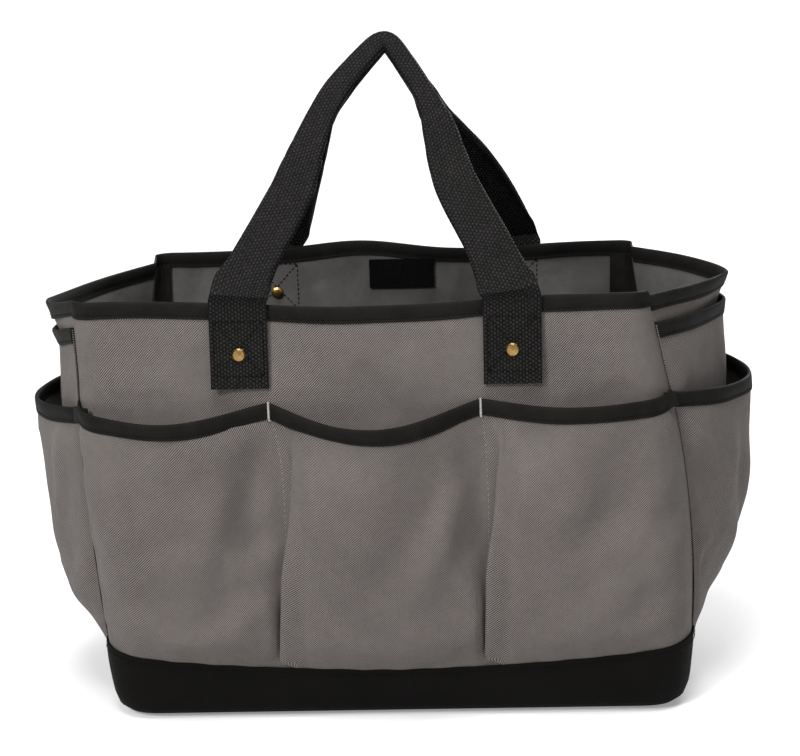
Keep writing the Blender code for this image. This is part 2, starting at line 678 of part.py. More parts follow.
def main():
    for old in list(bpy.data.objects):
        bpy.data.objects.remove(old, do_unlink=True)
    cloth = make_material("grey_polyester", (0.135, 0.122, 0.115), 0.85)
    boot_cloth = make_material("black_polyester", (0.010, 0.010, 0.011), 0.85)
    tape = make_material("black_binding_tape", (0.008, 0.008, 0.009), 0.80)
    webbing = make_material("black_webbing", (0.012, 0.012, 0.013), 0.80)
    brass = make_material("brass", (0.68, 0.47, 0.20), 0.30, 1.0)
    board = make_material("black_board", (0.02, 0.02, 0.02), 0.60)
    hook = make_material("hook_and_loop", (0.010, 0.010, 0.010), 0.95)

    make_boot(boot_cloth)
    make_board(board)
    make_walls(cloth, tape)
    make_seam_tapes(tape)
    for wall in ("front", "back"):
        make_long_pockets(wall, cloth, tape)
        for side, x in zip(("left", "right"), STRAP_X[wall]):
            make_tab(wall, side, x, webbing)
            make_rivet(wall, side, x, brass)
    for wall in ("left_end", "right_end"):
        make_end_pockets(wall, cloth, tape)
    make_handle("front", FRONT_HANDLE, webbing)
    make_handle("back", BACK_HANDLE, webbing)
    make_patch("back", "hook_patch", hook)
    make_patch("front", "loop_patch", hook)


main()
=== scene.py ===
"""Looks of the garden tool bag: coated polyester walls and pockets, black folded bindings,
a black base boot and two folded webbing handles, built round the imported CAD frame.

Metres, +Z up, the front of the bag faces -Y. Walls are read from their middle surface: plan
curves between four sewn corners that change with height, as in the CAD model.
"""

import json
from math import cos, pi, radians, sin

import bpy
import numpy as np
from mathutils import Matrix, Vector


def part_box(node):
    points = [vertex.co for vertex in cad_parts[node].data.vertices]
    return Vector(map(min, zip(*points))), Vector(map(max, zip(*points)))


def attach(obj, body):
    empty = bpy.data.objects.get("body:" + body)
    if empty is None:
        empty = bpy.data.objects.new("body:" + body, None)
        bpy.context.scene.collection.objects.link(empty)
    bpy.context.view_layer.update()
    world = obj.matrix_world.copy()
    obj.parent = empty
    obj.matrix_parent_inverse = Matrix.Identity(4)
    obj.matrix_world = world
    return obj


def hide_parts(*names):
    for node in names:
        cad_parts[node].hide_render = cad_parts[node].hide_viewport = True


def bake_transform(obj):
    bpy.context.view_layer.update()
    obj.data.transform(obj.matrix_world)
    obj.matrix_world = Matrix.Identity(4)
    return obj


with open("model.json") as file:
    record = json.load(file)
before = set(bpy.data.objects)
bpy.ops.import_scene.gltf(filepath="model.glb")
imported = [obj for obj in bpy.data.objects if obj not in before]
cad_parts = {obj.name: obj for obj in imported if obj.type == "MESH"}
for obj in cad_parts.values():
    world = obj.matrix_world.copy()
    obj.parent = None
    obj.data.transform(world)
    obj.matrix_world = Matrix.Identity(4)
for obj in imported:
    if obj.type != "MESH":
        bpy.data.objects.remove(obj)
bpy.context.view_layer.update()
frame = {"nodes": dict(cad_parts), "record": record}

# Cloth and tape ----------------------------------------------------------------------------
CLOTH = 0.0009             # thickness of the coated polyester
TAPE = 0.0007
WEBBING = 0.0015
CELL = 0.0032              # size of a cloth mesh cell
# One stitch: (share of its length, thickness, height), the last two in thread radii
STITCH = ((0.02, 0.45, -0.9), (0.14, 0.95, 0.30), (0.5, 1.0, 0.55), (0.86, 0.95, 0.30), (0.98, 0.45, -0.9))
SPARE_CLOTH = 0.014        # share that settling pockets gain
SETTLING_FRAMES = 22
SETTLING = {"quality": 6, "mass": 0.35, "tension_stiffness": 25.0, "compression_stiffness": 25.0,
            "shear_stiffness": 10.0, "bending_stiffness": 3.0, "shrink_min": -SPARE_CLOTH,
            "shrink_max": -SPARE_CLOTH, "pin_stiffness": 1.0}

# Walls: (height, x, y) of the sewn corners, from the base to the rim
WALL_FOOT = 0.022
WALL_TURN = 0.053
CORNERS = {
    "front_left": ((0.0, -0.198, -0.106), (WALL_TURN, -0.198, -0.106),
                   (0.15, -0.203, -0.106), (0.293, -0.205, -0.100)),
    "front_right": ((0.0, 0.198, -0.106), (WALL_TURN, 0.198, -0.106),
                    (0.15, 0.189, -0.106), (0.292, 0.163, -0.100)),
    "back_right": ((0.0, 0.198, 0.106), (WALL_TURN, 0.198, 0.106),
                   (0.15, 0.189, 0.106), (0.292, 0.172, 0.100)),
    "back_left": ((0.0, -0.198, 0.106), (WALL_TURN, -0.198, 0.106),
                  (0.15, -0.192, 0.106), (0.290, -0.176, 0.100)),
}
LONG_WALL, END_WALL = 0.41, 0.22   # rough widths, which set how fine the cloth's mesh is
CORNER_RADII = ((0.0, 0.032), (WALL_TURN, 0.032), (0.15, 0.024), (0.293, 0.007))
CORNER_SHARE = 0.08        # part of a long wall's width that turns the corner
LEFT_APEX = ((0.0, -0.206), (WALL_TURN, -0.206), (0.13, -0.220), (0.21, -0.229),
             (0.256, -0.2325), (0.276, -0.244))
RIGHT_APEX = ((0.0, 0.206), (WALL_TURN, 0.206), (0.13, 0.218), (0.21, 0.225),
              (0.266, 0.2265), (0.286, 0.234))
# Exponents of an end wall's plan by height: (height, front half, back half)
END_ROUNDNESS = ((0.0, 2.2, 2.2), (WALL_TURN, 2.2, 2.2), (0.15, 2.0, 2.0), (0.29, 1.25, 1.85))
WALL_BELLY = 0.004
BELLY_FOOT = 0.055
BELLY_HEIGHT = 0.23
WALL_CORNERS = {
    "front": ("front_left", "front_right"),
    "right_end": ("front_right", "back_right"),
    "back": ("back_right", "back_left"),
    "left_end": ("back_left", "front_left"),
}
WALLS = tuple(WALL_CORNERS)

# Rim
RIM = {"front_left": 0.292, "front_right": 0.291, "back_right": 0.291, "back_left": 0.288}
END_RIM_STEP = {"front_left": 0.0, "front_right": 0.003, "back_right": 0.004, "back_left": 0.006}
FRONT_RIM_SAG = 0.006
BACK_RIM_WAVES = ((0.57, 0.0055), (0.36, -0.0030))   # (share of the width, rise)
BACK_WAVE_WIDTH = 0.12
END_RIM_DIP = {"left_end": 0.0115, "right_end": 0.0025}
BINDING_DEPTH = 0.0100

# Boot: (height, offset from the wall's middle surface) of its outside
BOOT_OUTSIDE = ((0.0, -0.0175), (0.0006, -0.0125), (0.0025, -0.0078), (0.0070, -0.0023),
                (0.0140, 0.0002), (0.0205, 0.0013))
BOOT_TOP_OFFSET = 0.0037
BOOT_WALL = 0.0013
BOOT_HEIGHT = 0.037
BOOT_CORNER_RISE = 0.014
BOOT_LIP_ROUND = 0.0008
BOOT_FLOOR_WALL = 0.0012

# Long-side pockets
POUCH_SEAT = 0.0014        # a pocket's cloth lies this far outside the wall's middle
DIVIDERS = {"front": ((-0.078, -0.081), (0.061, 0.058)), "back": ((0.070, 0.062), (-0.070, -0.068))}
POCKET_LIP = 0.2235
POCKET_SAG = {"front": (0.008, 0.012, 0.003), "back": (0.004, 0.009, 0.005)}
POCKET_BULGE = {"front": (0.0215, 0.027, 0.0175), "back": (0.019, 0.024, 0.019)}
DIVIDER_BOW = {"front": (0.0073, 0.0033), "back": (-0.0030, 0.0025)}   # stitch lines' sideways bow
PLEAT_SHARE = 0.10         # part of a pouch's cloth that is in the pleat beside its stitch line
PLEAT_COLUMNS = 26
# Cross-section of that pleat, low down and higher up: (share of its cloth, sideways, outwards)
LOW_PLEAT = ((0.0, 0.0, 0.0), (0.20, 0.0036, 0.0001), (0.36, 0.0066, 0.0006),
             (0.47, 0.0070, 0.0020), (0.60, 0.0036, 0.0042), (0.72, -0.0004, 0.0056),
             (0.79, -0.0020, 0.0066), (0.84, -0.0018, 0.0076), (0.90, -0.0002, 0.0086))
HIGH_PLEAT = ((0.0, 0.0, 0.0), (0.20, 0.0044, 0.0001), (0.36, 0.0092, 0.0002),
              (0.47, 0.0104, 0.0010), (0.60, 0.0088, 0.0024), (0.72, 0.0056, 0.0036),
              (0.78, 0.0047, 0.0043), (0.83, 0.0049, 0.0051), (0.90, 0.0062, 0.0061))
RISE_WIDTH = (0.034, 0.024, 0.024)   # width over which a pouch rises from its left stitch line
RECESS = (0.017, 0.003, 0.0)   # width of the flat band left of the stitch line, half way up
FALL_LOW = 0.010               # width over which a pouch falls back to its right line, low down
FALL_HIGH = (0.025, 0.027, 0.034)
POUCH_SLACK = 0.0045           # the most that a settling pouch or low pocket moves

# End pockets
TALL_DROP = 0.0185         # from the rim down to the tall pocket's lip
TALL_FOOT = 0.060
TALL_BULGE = 0.0095
TALL_SLACK = 0.003
LOW_LIP = {"left_end": 0.2185, "right_end": 0.2215}
LOW_SAG = {"left_end": 0.0085, "right_end": 0.0070}
LOW_BULGE = 0.0315
LOW_FILLING = {"left_end": 0.26, "right_end": 0.50}   # full above this part of the height

CORNER_TAPE_REACH = {"left": 0.070, "right": 0.090}   # share of a long wall under a corner's tape

# Handles
STRAP_WIDTH = 0.038
STRAP_X = {"front": (-0.099, 0.0795), "back": (-0.091, 0.090)}
STRAP_BOTTOM = 0.2345
STRAP_OFFSET = 0.0030
GRIP_Y = 0.0075
GRIP_Z = 0.4545
LEG_STATIONS = 22          # cross-sections of a strap on the wall, and of the loop above it
LOOP_STATIONS = 150
ROLL_RADIUS = 0.0019       # of a strap's long edges where they roll behind it
BOX_HALF = 0.0160          # half width of the sewn box, and the heights of its ends
BOX_HEIGHTS = (0.2430, 0.2790)
# (x, share of the leg's rise, visible width) from the left hinge to the right one
HANDLE_ROUTES = {
    "front": ((-0.0975, 0.000, 0.038), (-0.0950, 0.050, 0.0355), (-0.0865, 0.150, 0.0305),
              (-0.0660, 0.367, 0.0290), (-0.0570, 0.502, 0.0250), (-0.0505, 0.606, 0.0200),
              (-0.0365, 0.770, 0.0170), (-0.0170, 0.912, 0.0140), (-0.0010, 0.985, 0.0120),
              (0.0125, 0.895, 0.0120), (0.0285, 0.727, 0.0150), (0.0340, 0.640, 0.0210),
              (0.0445, 0.421, 0.0280), (0.0645, 0.187, 0.0300), (0.0730, 0.071, 0.0335),
              (0.0780, 0.000, 0.038)),
    "back": ((-0.0905, 0.000, 0.038), (-0.0840, 0.050, 0.0355), (-0.0770, 0.150, 0.0315),
             (-0.0665, 0.358, 0.0290), (-0.0580, 0.494, 0.0240), (-0.0485, 0.643, 0.0190),
             (-0.0325, 0.773, 0.0160), (-0.0120, 0.914, 0.0130), (-0.0010, 0.968, 0.0120),
             (0.0070, 0.905, 0.0120), (0.0240, 0.740, 0.0160), (0.0335, 0.616, 0.0220),
             (0.0580, 0.410, 0.0280), (0.0755, 0.215, 0.0310), (0.0840, 0.074, 0.0345),
             (0.0880, 0.000, 0.038)),
}

# Studio
FLOOR_SIZE = 4.0
FLOOR_CURVE = 0.8          # radius where the floor turns up into the backdrop
BACKDROP = 2.2             # how far it stands behind the bag's middle
BACKDROP_TOP = 3.0
WORLD_LIGHT = 0.18
CAMERA_PLACE = (0.036, -1.300, 0.535)
CAMERA_LENS = 84.7         # millimetres, on a 36 mm sensor
CAMERA_PITCH, CAMERA_YAW, CAMERA_ROLL = radians(-13.9), radians(-1.45), radians(-1.48)

# Soft folds in the cloth: (across, height) of both ends, half width, height of the fold. The
# first number is x on a long side and y on an end; minus is a valley.
FOLDS = {
    "front": (((-0.128, 0.262), (-0.108, 0.212), 0.007, -0.0022),
              ((-0.150, 0.250), (-0.140, 0.215), 0.008, 0.0012),
              ((-0.020, 0.250), (0.000, 0.212), 0.007, -0.0022),
              ((0.012, 0.262), (0.016, 0.222), 0.010, 0.0013),
              ((0.100, 0.255), (0.112, 0.225), 0.008, -0.0014),
              ((0.128, 0.280), (0.150, 0.226), 0.009, 0.0013)),
    "back": (((-0.060, 0.262), (-0.040, 0.212), 0.008, -0.0022),
             ((0.030, 0.256), (0.020, 0.214), 0.008, 0.0016),
             ((0.048, 0.285), (0.040, 0.235), 0.006, -0.0020),
             ((-0.120, 0.262), (-0.128, 0.220), 0.008, -0.0016),
             ((-0.150, 0.285), (-0.156, 0.225), 0.007, 0.0022),
             ((0.118, 0.270), (0.128, 0.220), 0.009, 0.0015)),
    "left_end": (((0.000, 0.262), (0.012, 0.120), 0.010, 0.0012),
                 ((0.040, 0.260), (0.060, 0.170), 0.010, -0.0016)),
    "right_end": (((0.000, 0.268), (-0.008, 0.120), 0.010, 0.0012),
                  ((-0.044, 0.262), (-0.060, 0.170), 0.010, -0.0016)),
}
POUCH_FOLDS = {
    "front": (((-0.074, 0.209), (-0.050, 0.158), 0.0024, -0.0020),
              ((-0.070, 0.196), (-0.044, 0.150), 0.0060, 0.0016),
              ((-0.006, 0.110), (0.054, 0.200), 0.0130, -0.0032),
              ((-0.030, 0.190), (-0.012, 0.120), 0.0140, 0.0014),
              ((0.040, 0.150), (0.047, 0.070), 0.0060, -0.0016),
              ((-0.178, 0.190), (-0.150, 0.110), 0.0100, -0.0016),
              ((-0.140, 0.205), (-0.118, 0.120), 0.0120, 0.0016),
              ((-0.100, 0.110), (-0.090, 0.050), 0.0070, -0.0018),
              ((0.090, 0.200), (0.110, 0.120), 0.0120, 0.0014),
              ((0.150, 0.200), (0.128, 0.130), 0.0110, -0.0016),
              ((0.160, 0.120), (0.170, 0.060), 0.0080, -0.0014)),
    "back": (((0.072, 0.208), (0.046, 0.150), 0.0060, -0.0020),
             ((0.100, 0.190), (0.128, 0.100), 0.0110, -0.0020),
             ((0.030, 0.190), (-0.010, 0.110), 0.0110, -0.0022),
             ((-0.076, 0.205), (-0.096, 0.130), 0.0080, -0.0020),
             ((-0.130, 0.200), (-0.118, 0.120), 0.0120, 0.0018),
             ((-0.170, 0.150), (-0.150, 0.070), 0.0100, -0.0016)),
}
END_FOLDS = {
    "left_end": (((-0.072, 0.205), (-0.050, 0.130), 0.0060, 0.0030),
                 ((-0.088, 0.120), (-0.070, 0.060), 0.0060, -0.0026),
                 ((-0.030, 0.190), (-0.010, 0.080), 0.0120, -0.0026),
                 ((0.060, 0.200), (0.040, 0.110), 0.0090, -0.0026),
                 ((0.080, 0.130), (0.066, 0.060), 0.0070, 0.0020)),
    "right_end": (((-0.086, 0.200), (-0.050, 0.148), 0.0050, 0.0030),
                  ((-0.062, 0.118), (-0.086, 0.062), 0.0055, -0.0030),
                  ((-0.030, 0.200), (-0.020, 0.080), 0.0120, -0.0026),
                  ((0.058, 0.200), (0.044, 0.110), 0.0090, -0.0024),
                  ((0.082, 0.130), (0.066, 0.060), 0.0070, 0.0020)),
}


# Small mathematics -------------------------------------------------------------------------
def mix(a, b, share):
    return a + (b - a) * share


def smooth(value):
    value = np.clip(value, 0.0, 1.0)
    return value * value * (3.0 - 2.0 * value)


def unit(vectors):
    return vectors / np.maximum(np.linalg.norm(vectors, axis=-1, keepdims=True), 1e-12)


def read(rows, at):
    """Values of (position, value, ...) rows, read along one smooth curve at an array of positions."""
    rows = np.array(rows, float)
    x, y = rows[:, 0], rows[:, 1:]
    slope = np.gradient(y, x, axis=0)
    at = np.clip(at, x[0], x[-1])
    k = np.clip(np.searchsorted(x, at, side="right") - 1, 0, len(x) - 2)
    step = (x[k + 1] - x[k])[..., None]
    t = (at - x[k])[..., None] / step
    return (y[k] * (2 * t ** 3 - 3 * t ** 2 + 1) + slope[k] * step * (t ** 3 - 2 * t ** 2 + t)
            + y[k + 1] * (3 * t ** 2 - 2 * t ** 3) + slope[k + 1] * step * (t ** 3 - t ** 2))


def fold_relief(across, height, folds):
    """Outward relief of a list of soft folds."""
    total = np.zeros_like(across)
    for (a0, z0), (a1, z1), width, rise in folds:
        t = ((across - a0) * (a1 - a0) + (height - z0) * (z1 - z0)) / ((a1 - a0) ** 2 + (z1 - z0) ** 2)
        t = np.clip(t, 0.0, 1.0)
        away = np.hypot(across - a0 - t * (a1 - a0), height - z0 - t * (z1 - z0))
        total += rise * np.exp(-(away / width) ** 2) * np.sqrt(np.sin(pi * t))
    return total


def ripple(across, height, size, seed):
    """Smooth random relief, mostly between -1 and 1."""
    rng = np.random.default_rng(seed)
    total = np.zeros_like(across)
    waves = 14
    for _ in range(waves):
        angle, phase = rng.uniform(0.0, 2 * pi, 2)
        length = size * rng.uniform(0.7, 2.0)
        total += np.sin(2 * pi * (across * cos(angle) + height * sin(angle)) / length + phase)
    return total * (2.0 / waves) ** 0.5 / 1.5


# The walls' middle surface -----------------------------------------------------------------
def seam_points(wall, z):
    """Both sewn seams of a wall, in plan."""
    radius = read(CORNER_RADII, z)
    ends = []
    for name in WALL_CORNERS[wall]:
        apex = read(LEFT_APEX if name.endswith("left") else RIGHT_APEX, z)
        start = read(CORNERS[name], z)
        toward = np.concatenate([apex, np.zeros_like(apex)], -1) - start
        ends.append(start + unit(toward) * radius)
    return ends


def bend(a, b, c, t):
    return a * (1.0 - t) ** 2 + b * (2.0 * t * (1.0 - t)) + c * t ** 2


def plan(wall, u, z):
    """Plan points of a wall; u runs from 0 to 1, anticlockwise seen from above."""
    u, z = np.broadcast_arrays(np.asarray(u, float), np.asarray(z, float))
    start, end = seam_points(wall, z)
    if wall.endswith("_end"):
        point = start + (end - start) * u[..., None]
        apex = read(LEFT_APEX if wall == "left_end" else RIGHT_APEX, z)[..., 0]
        depth = apex - (start[..., 0] + end[..., 0]) / 2
        exponents = read(END_ROUNDNESS, z)
        backs = (u > 0.5) if wall == "right_end" else (u <= 0.5)
        exponent = np.where(backs, exponents[..., 1], exponents[..., 0])
        point[..., 0] += depth * (1.0 - np.abs(2.0 * u - 1.0) ** exponent)
        return point
    first, last = (read(CORNERS[name], z) for name in WALL_CORNERS[wall])
    reach = unit(last - first) * read(CORNER_RADII, z)
    t = ((u - CORNER_SHARE) / (1.0 - 2.0 * CORNER_SHARE))[..., None]
    point = mix(first + reach, last - reach, t)
    near, far = (u < CORNER_SHARE)[..., None], (u > 1.0 - CORNER_SHARE)[..., None]
    point = np.where(near, bend(start, first, first + reach, u[..., None] / CORNER_SHARE), point)
    point = np.where(far, bend(end, last, last - reach, (1.0 - u[..., None]) / CORNER_SHARE), point)
    rise = np.clip((z - BELLY_FOOT) / BELLY_HEIGHT, 0.0, 1.0)
    belly = WALL_BELLY * np.sin(pi * rise) * np.sin(pi * u) ** 2
    point[..., 1] += belly if wall == "back" else -belly
    return point


def outward(wall, u, z):
    """Unit vectors out of the bag in plan, square to the wall."""
    step = 0.012
    before, after = np.maximum(u - step, 0.0), np.minimum(u + step, 1.0)
    tangent = unit(plan(wall, after, z) - plan(wall, before, z))
    return np.stack([tangent[..., 1], -tangent[..., 0]], -1)


def layer(wall, u, z, offset=0.0):
    """Points that lie offset outside a wall's middle surface."""
    u, z, offset = np.broadcast_arrays(*(np.asarray(a, float) for a in (u, z, offset)))
    flat = plan(wall, u, z) + outward(wall, u, z) * offset[..., None]
    return np.concatenate([flat, z[..., None]], -1)


def three(flat):
    """Plan vectors with a height of nought."""
    return np.concatenate([flat, np.zeros_like(flat[..., :1])], -1)


def u_at_x(wall, x, z):
    """The u of a long wall where it crosses x, on its straight stretch."""
    first, last = (read(CORNERS[name], z) for name in WALL_CORNERS[wall])
    reach = unit(last - first) * read(CORNER_RADII, z)
    start, end = (first + reach)[..., 0], (last - reach)[..., 0]
    return mix(CORNER_SHARE, 1.0 - CORNER_SHARE, (x - start) / (end - start))


def across(wall, u, z):
    """x along a long wall, y along an end."""
    return plan(wall, u, z)[..., 1 if wall.endswith("_end") else 0]


def rim_height(wall, u):
    first, last = WALL_CORNERS[wall]
    is_end = wall.endswith("_end")
    ends = [RIM[name] - (END_RIM_STEP[name] if is_end else 0.0) for name in (first, last)]
    height = mix(ends[0], ends[1], u)
    if wall == "front":
        return height - FRONT_RIM_SAG * np.sin(pi * u) ** 4
    if wall == "back":
        for centre, rise in BACK_RIM_WAVES:
            height = height + rise * np.exp(-((u - centre) / BACK_WAVE_WIDTH) ** 2)
        return height
    return height - END_RIM_DIP[wall] * np.sin(pi * u)


def boot_top(x):
    return BOOT_HEIGHT + BOOT_CORNER_RISE * np.minimum((x / 0.2) ** 2, 1.0)


def wall_relief(wall, u, z):
    """Folds and slight unevenness of a wall, none at its seams and rim."""
    a = across(wall, u, z)
    free = smooth(np.minimum(u, 1.0 - u) / 0.06) * smooth((z - 0.06) / 0.06)
    free = free * smooth((rim_height(wall, u) - z) / 0.02 + 0.15)
    seed = 10 + WALLS.index(wall)
    relief = free * (fold_relief(a, z, FOLDS[wall]) + 0.0008 * ripple(a, z, 0.055, seed))
    above_pockets = smooth((z - POCKET_LIP - 0.0050) / 0.025)
    return np.minimum(relief, mix(0.0001, 0.0100, above_pockets))


# Meshes ------------------------------------------------------------------------------------
def make_mesh(name, vertices, faces, uvs, materials, picks=None):
    """Mesh object from arrays: corners' uvs run in the order of the faces' corners."""
    mesh = bpy.data.meshes.new(name)
    mesh.from_pydata([tuple(v) for v in vertices], [], [tuple(int(k) for k in f) for f in faces])
    layer_uv = mesh.uv_layers.new(name="metres")
    layer_uv.data.foreach_set("uv", np.asarray(uvs, np.float32).ravel())
    for material in materials:
        mesh.materials.append(material)
    if picks is not None:
        mesh.polygons.foreach_set("material_index", np.asarray(picks, np.int32))
    mesh.shade_smooth()
    mesh.set_sharp_from_angle(angle=radians(55))
    mesh.update()
    piece = bpy.data.objects.new(name, mesh)
    bpy.context.collection.objects.link(piece)
    return piece


def grid_normals(grid):
    """Outward normals of a grid of rows from bottom to top, columns anticlockwise."""
    return unit(np.cross(np.gradient(grid, axis=1), np.gradient(grid, axis=0)))


def grid_lengths(grid):
    """Distances along the rows and up the columns, in metres: the cloth's own coordinates."""
    along = np.zeros(grid.shape[:2])
    steps = np.linalg.norm(np.diff(grid, axis=1), axis=-1).mean(axis=0)
    along[:] = np.concatenate([[0.0], np.cumsum(steps)])
    rows = np.linalg.norm(np.diff(grid, axis=0), axis=-1).mean(axis=1)
    up = np.concatenate([[0.0], np.cumsum(rows)])[:, None] + np.zeros(grid.shape[:2])
    return along, up


def flat_size(grid):
    along, up = grid_lengths(grid)
    return along.max(), up.max()


def cloth(name, grid, materials, thickness=CLOTH):
    """Closed piece of even thickness round a grid of points: materials for outside and inside."""
    rows, columns = grid.shape[:2]
    normals = grid_normals(grid) * thickness / 2
    vertices = np.concatenate([(grid + normals).reshape(-1, 3), (grid - normals).reshape(-1, 3)])
    index = np.arange(rows * columns).reshape(rows, columns)
    front = np.stack([index[:-1, :-1], index[:-1, 1:], index[1:, 1:], index[1:, :-1]], -1).reshape(-1, 4)
    back = front[:, ::-1] + rows * columns
    border = np.concatenate([index[0, :-1], index[:-1, -1], index[-1, :0:-1], index[:0:-1, 0]])
    following = np.roll(border, -1)
    rim = np.stack([following, border, border + rows * columns, following + rows * columns], -1)
    faces = np.concatenate([front, back, rim])
    along, up = grid_lengths(grid)
    coordinates = np.tile(np.stack([along, up], -1).reshape(-1, 2), (2, 1))
    picks = np.repeat([0, len(materials) - 1, 0], [len(front), len(back), len(rim)])
    return make_mesh(name, vertices, faces, coordinates[faces.ravel()], materials, picks)


def sweep(name, sections, section_uv, along, materials):
    """Closed solid through equal closed sections: (stations, points, 3)."""
    stations, count = sections.shape[:2]
    index = np.arange(stations * count).reshape(stations, count)
    following = np.roll(index, -1, axis=1)
    sides = np.stack([index[:-1], following[:-1], following[1:], index[1:]], -1).reshape(-1, 4)
    uv = np.zeros((stations, count, 2))
    uv[..., 0] = section_uv
    uv[..., 1] = along[:, None]
    uv = uv.reshape(-1, 2)
    faces = [tuple(face) for face in sides]
    faces += [tuple(index[0, ::-1]), tuple(index[-1])]
    corners = np.concatenate([sides.ravel(), index[0, ::-1], index[-1]])
    return make_mesh(name, sections.reshape(-1, 3), faces, uv[corners], materials)


def path_lengths(points):
    return np.concatenate([[0.0], np.cumsum(np.linalg.norm(np.diff(points, axis=0), axis=1))])


def resample(points, spacing, *others):
    """Points and other rows at an even spacing along a path."""
    lengths = path_lengths(points)
    at = np.linspace(0.0, lengths[-1], max(int(lengths[-1] / spacing), 2) + 1)
    return [np.stack([np.interp(at, lengths, rows[:, k]) for k in range(3)], -1)
            for rows in (points, *others)]


def own(piece, slot, *nodes, body="bag"):
    """Ties a piece to its body and hides the CAD nodes it stands for. slot is not used."""
    if body:
        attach(piece, body)
    if nodes:
        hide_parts(*nodes)
    return piece


def stitches(name, points, normals, material, length=0.0026, gap=0.0008, radius=0.00032):
    """A row of thread stitches along a path: each dips into the cloth at both ends."""
    points, normals = resample(np.asarray(points, float), 0.0004, np.asarray(normals, float))
    normals = unit(normals)
    lengths = path_lengths(points)
    count = max(int(lengths[-1] / (length + gap)), 1)
    pitch = lengths[-1] / count
    shares, swell, lift = np.array(STITCH).T
    sides = 6
    vertices, faces = [], []
    for i in range(count):
        at = (i + (shares * length + gap / 2) / pitch) * pitch
        centre = np.stack([np.interp(at, lengths, points[:, k]) for k in range(3)], -1)
        normal = unit(np.stack([np.interp(at, lengths, normals[:, k]) for k in range(3)], -1))
        tangent = unit(np.gradient(centre, axis=0))
        side = unit(np.cross(tangent, normal))
        first = len(vertices)
        for c, n, s, w, h in zip(centre, normal, side, swell, lift):
            for k in range(sides):
                angle = 2 * pi * k / sides
                vertices.append(c + n * radius * (h + w * cos(angle)) + s * radius * w * sin(angle))
        for j in range(len(shares) - 1):
            for k in range(sides):
                a, b = first + j * sides + k, first + j * sides + (k + 1) % sides
                faces.append((a, b, b + sides, a + sides))
        faces.append(tuple(first + k for k in reversed(range(sides))))
        faces.append(tuple(first + (len(shares) - 1) * sides + k for k in range(sides)))
    uvs = np.zeros((sum(len(f) for f in faces), 2))
    return make_mesh(name, vertices, faces, uvs, [material])


def tape(name, edge, ups, outs, seed):
    """Folded binding over a cloth edge: points of the edge, directions up and outwards. Returns the
    piece, the line of its stitches, the outward directions there and the tape's half thickness."""
    edge, ups, outs = resample(edge, 0.0025, ups, outs)
    ups, outs = unit(ups), unit(outs)
    lengths = path_lengths(edge)
    depth = BINDING_DEPTH
    inner = CLOTH / 2 + 0.00015
    outer = inner + TAPE
    groove = depth - 0.0022
    half = [(outer * 0.72, 0.0008), (outer + 0.0002, -0.0004), (outer + 0.0003, -0.0030),
            (outer + 0.0002, -groove + 0.0010), (outer - 0.00025, -groove),
            (outer + 0.0001, -groove - 0.0008), (outer * 0.96, -depth)]
    profile = [(-out, rise) for out, rise in reversed(half)] + [(0.0, 0.0012)] + half
    profile = np.array(profile + [(inner, -depth), (inner, -0.0004), (-inner, -0.0004), (-inner, -depth)])
    rng = np.random.default_rng(seed + 40)
    phases = rng.uniform(0.0, 2 * pi, 4)
    wave = 0.00035 * np.sin(lengths / 0.013 + phases[0]) + 0.0003 * np.sin(lengths / 0.031 + phases[1])
    puff = 0.00018 * np.sin(lengths / 0.0065 + phases[2]) + 0.0002 * np.sin(lengths / 0.019 + phases[3])
    out = np.repeat(profile[None, :, 0], len(edge), 0)
    rise = np.repeat(profile[None, :, 1], len(edge), 0)
    low = rise < -0.5 * depth
    rise = rise + np.where(low, wave[:, None], 0.3 * wave[:, None])
    out = out + np.sign(out) * np.where(low, 0.0, puff[:, None])
    sections = edge[:, None] + outs[:, None] * out[..., None] + ups[:, None] * rise[..., None]
    girth = np.concatenate([[0.0], np.cumsum(np.hypot(*np.diff(profile, axis=0).T))])
    piece = sweep(name, sections[:, ::-1], girth[::-1], lengths, [BINDING])
    return piece, edge - ups * groove, outs, outer


def tape_on_grid(name, grid, node, seed):
    """Binding and its stitch rows on the top edge of a cloth grid."""
    ups = unit(grid[-1] - grid[-3])
    piece, line, outs, outer = tape(name, grid[-1], ups, grid_normals(grid)[-1], seed)
    own(piece, "binding_tape", node)
    for side, facing in (("outer", outs), ("inner", -outs)):
        row = stitches(f"{name}_stitches_{side}", line + facing * (outer - 0.00015), facing, DARK_THREAD)
        own(row, "binding_tape")
    return piece


def softened(field, passes=2):
    """A grid of vectors with its small wrinkles averaged out."""
    for _ in range(passes):
        for axis in (0, 1):
            padded = np.pad(field, [(2, 2) if k == axis else (0, 0) for k in range(3)], mode="edge")
            count = field.shape[axis]
            field = sum(np.take(padded, np.arange(k, k + count), axis) for k in range(5)) / 5.0
    return field


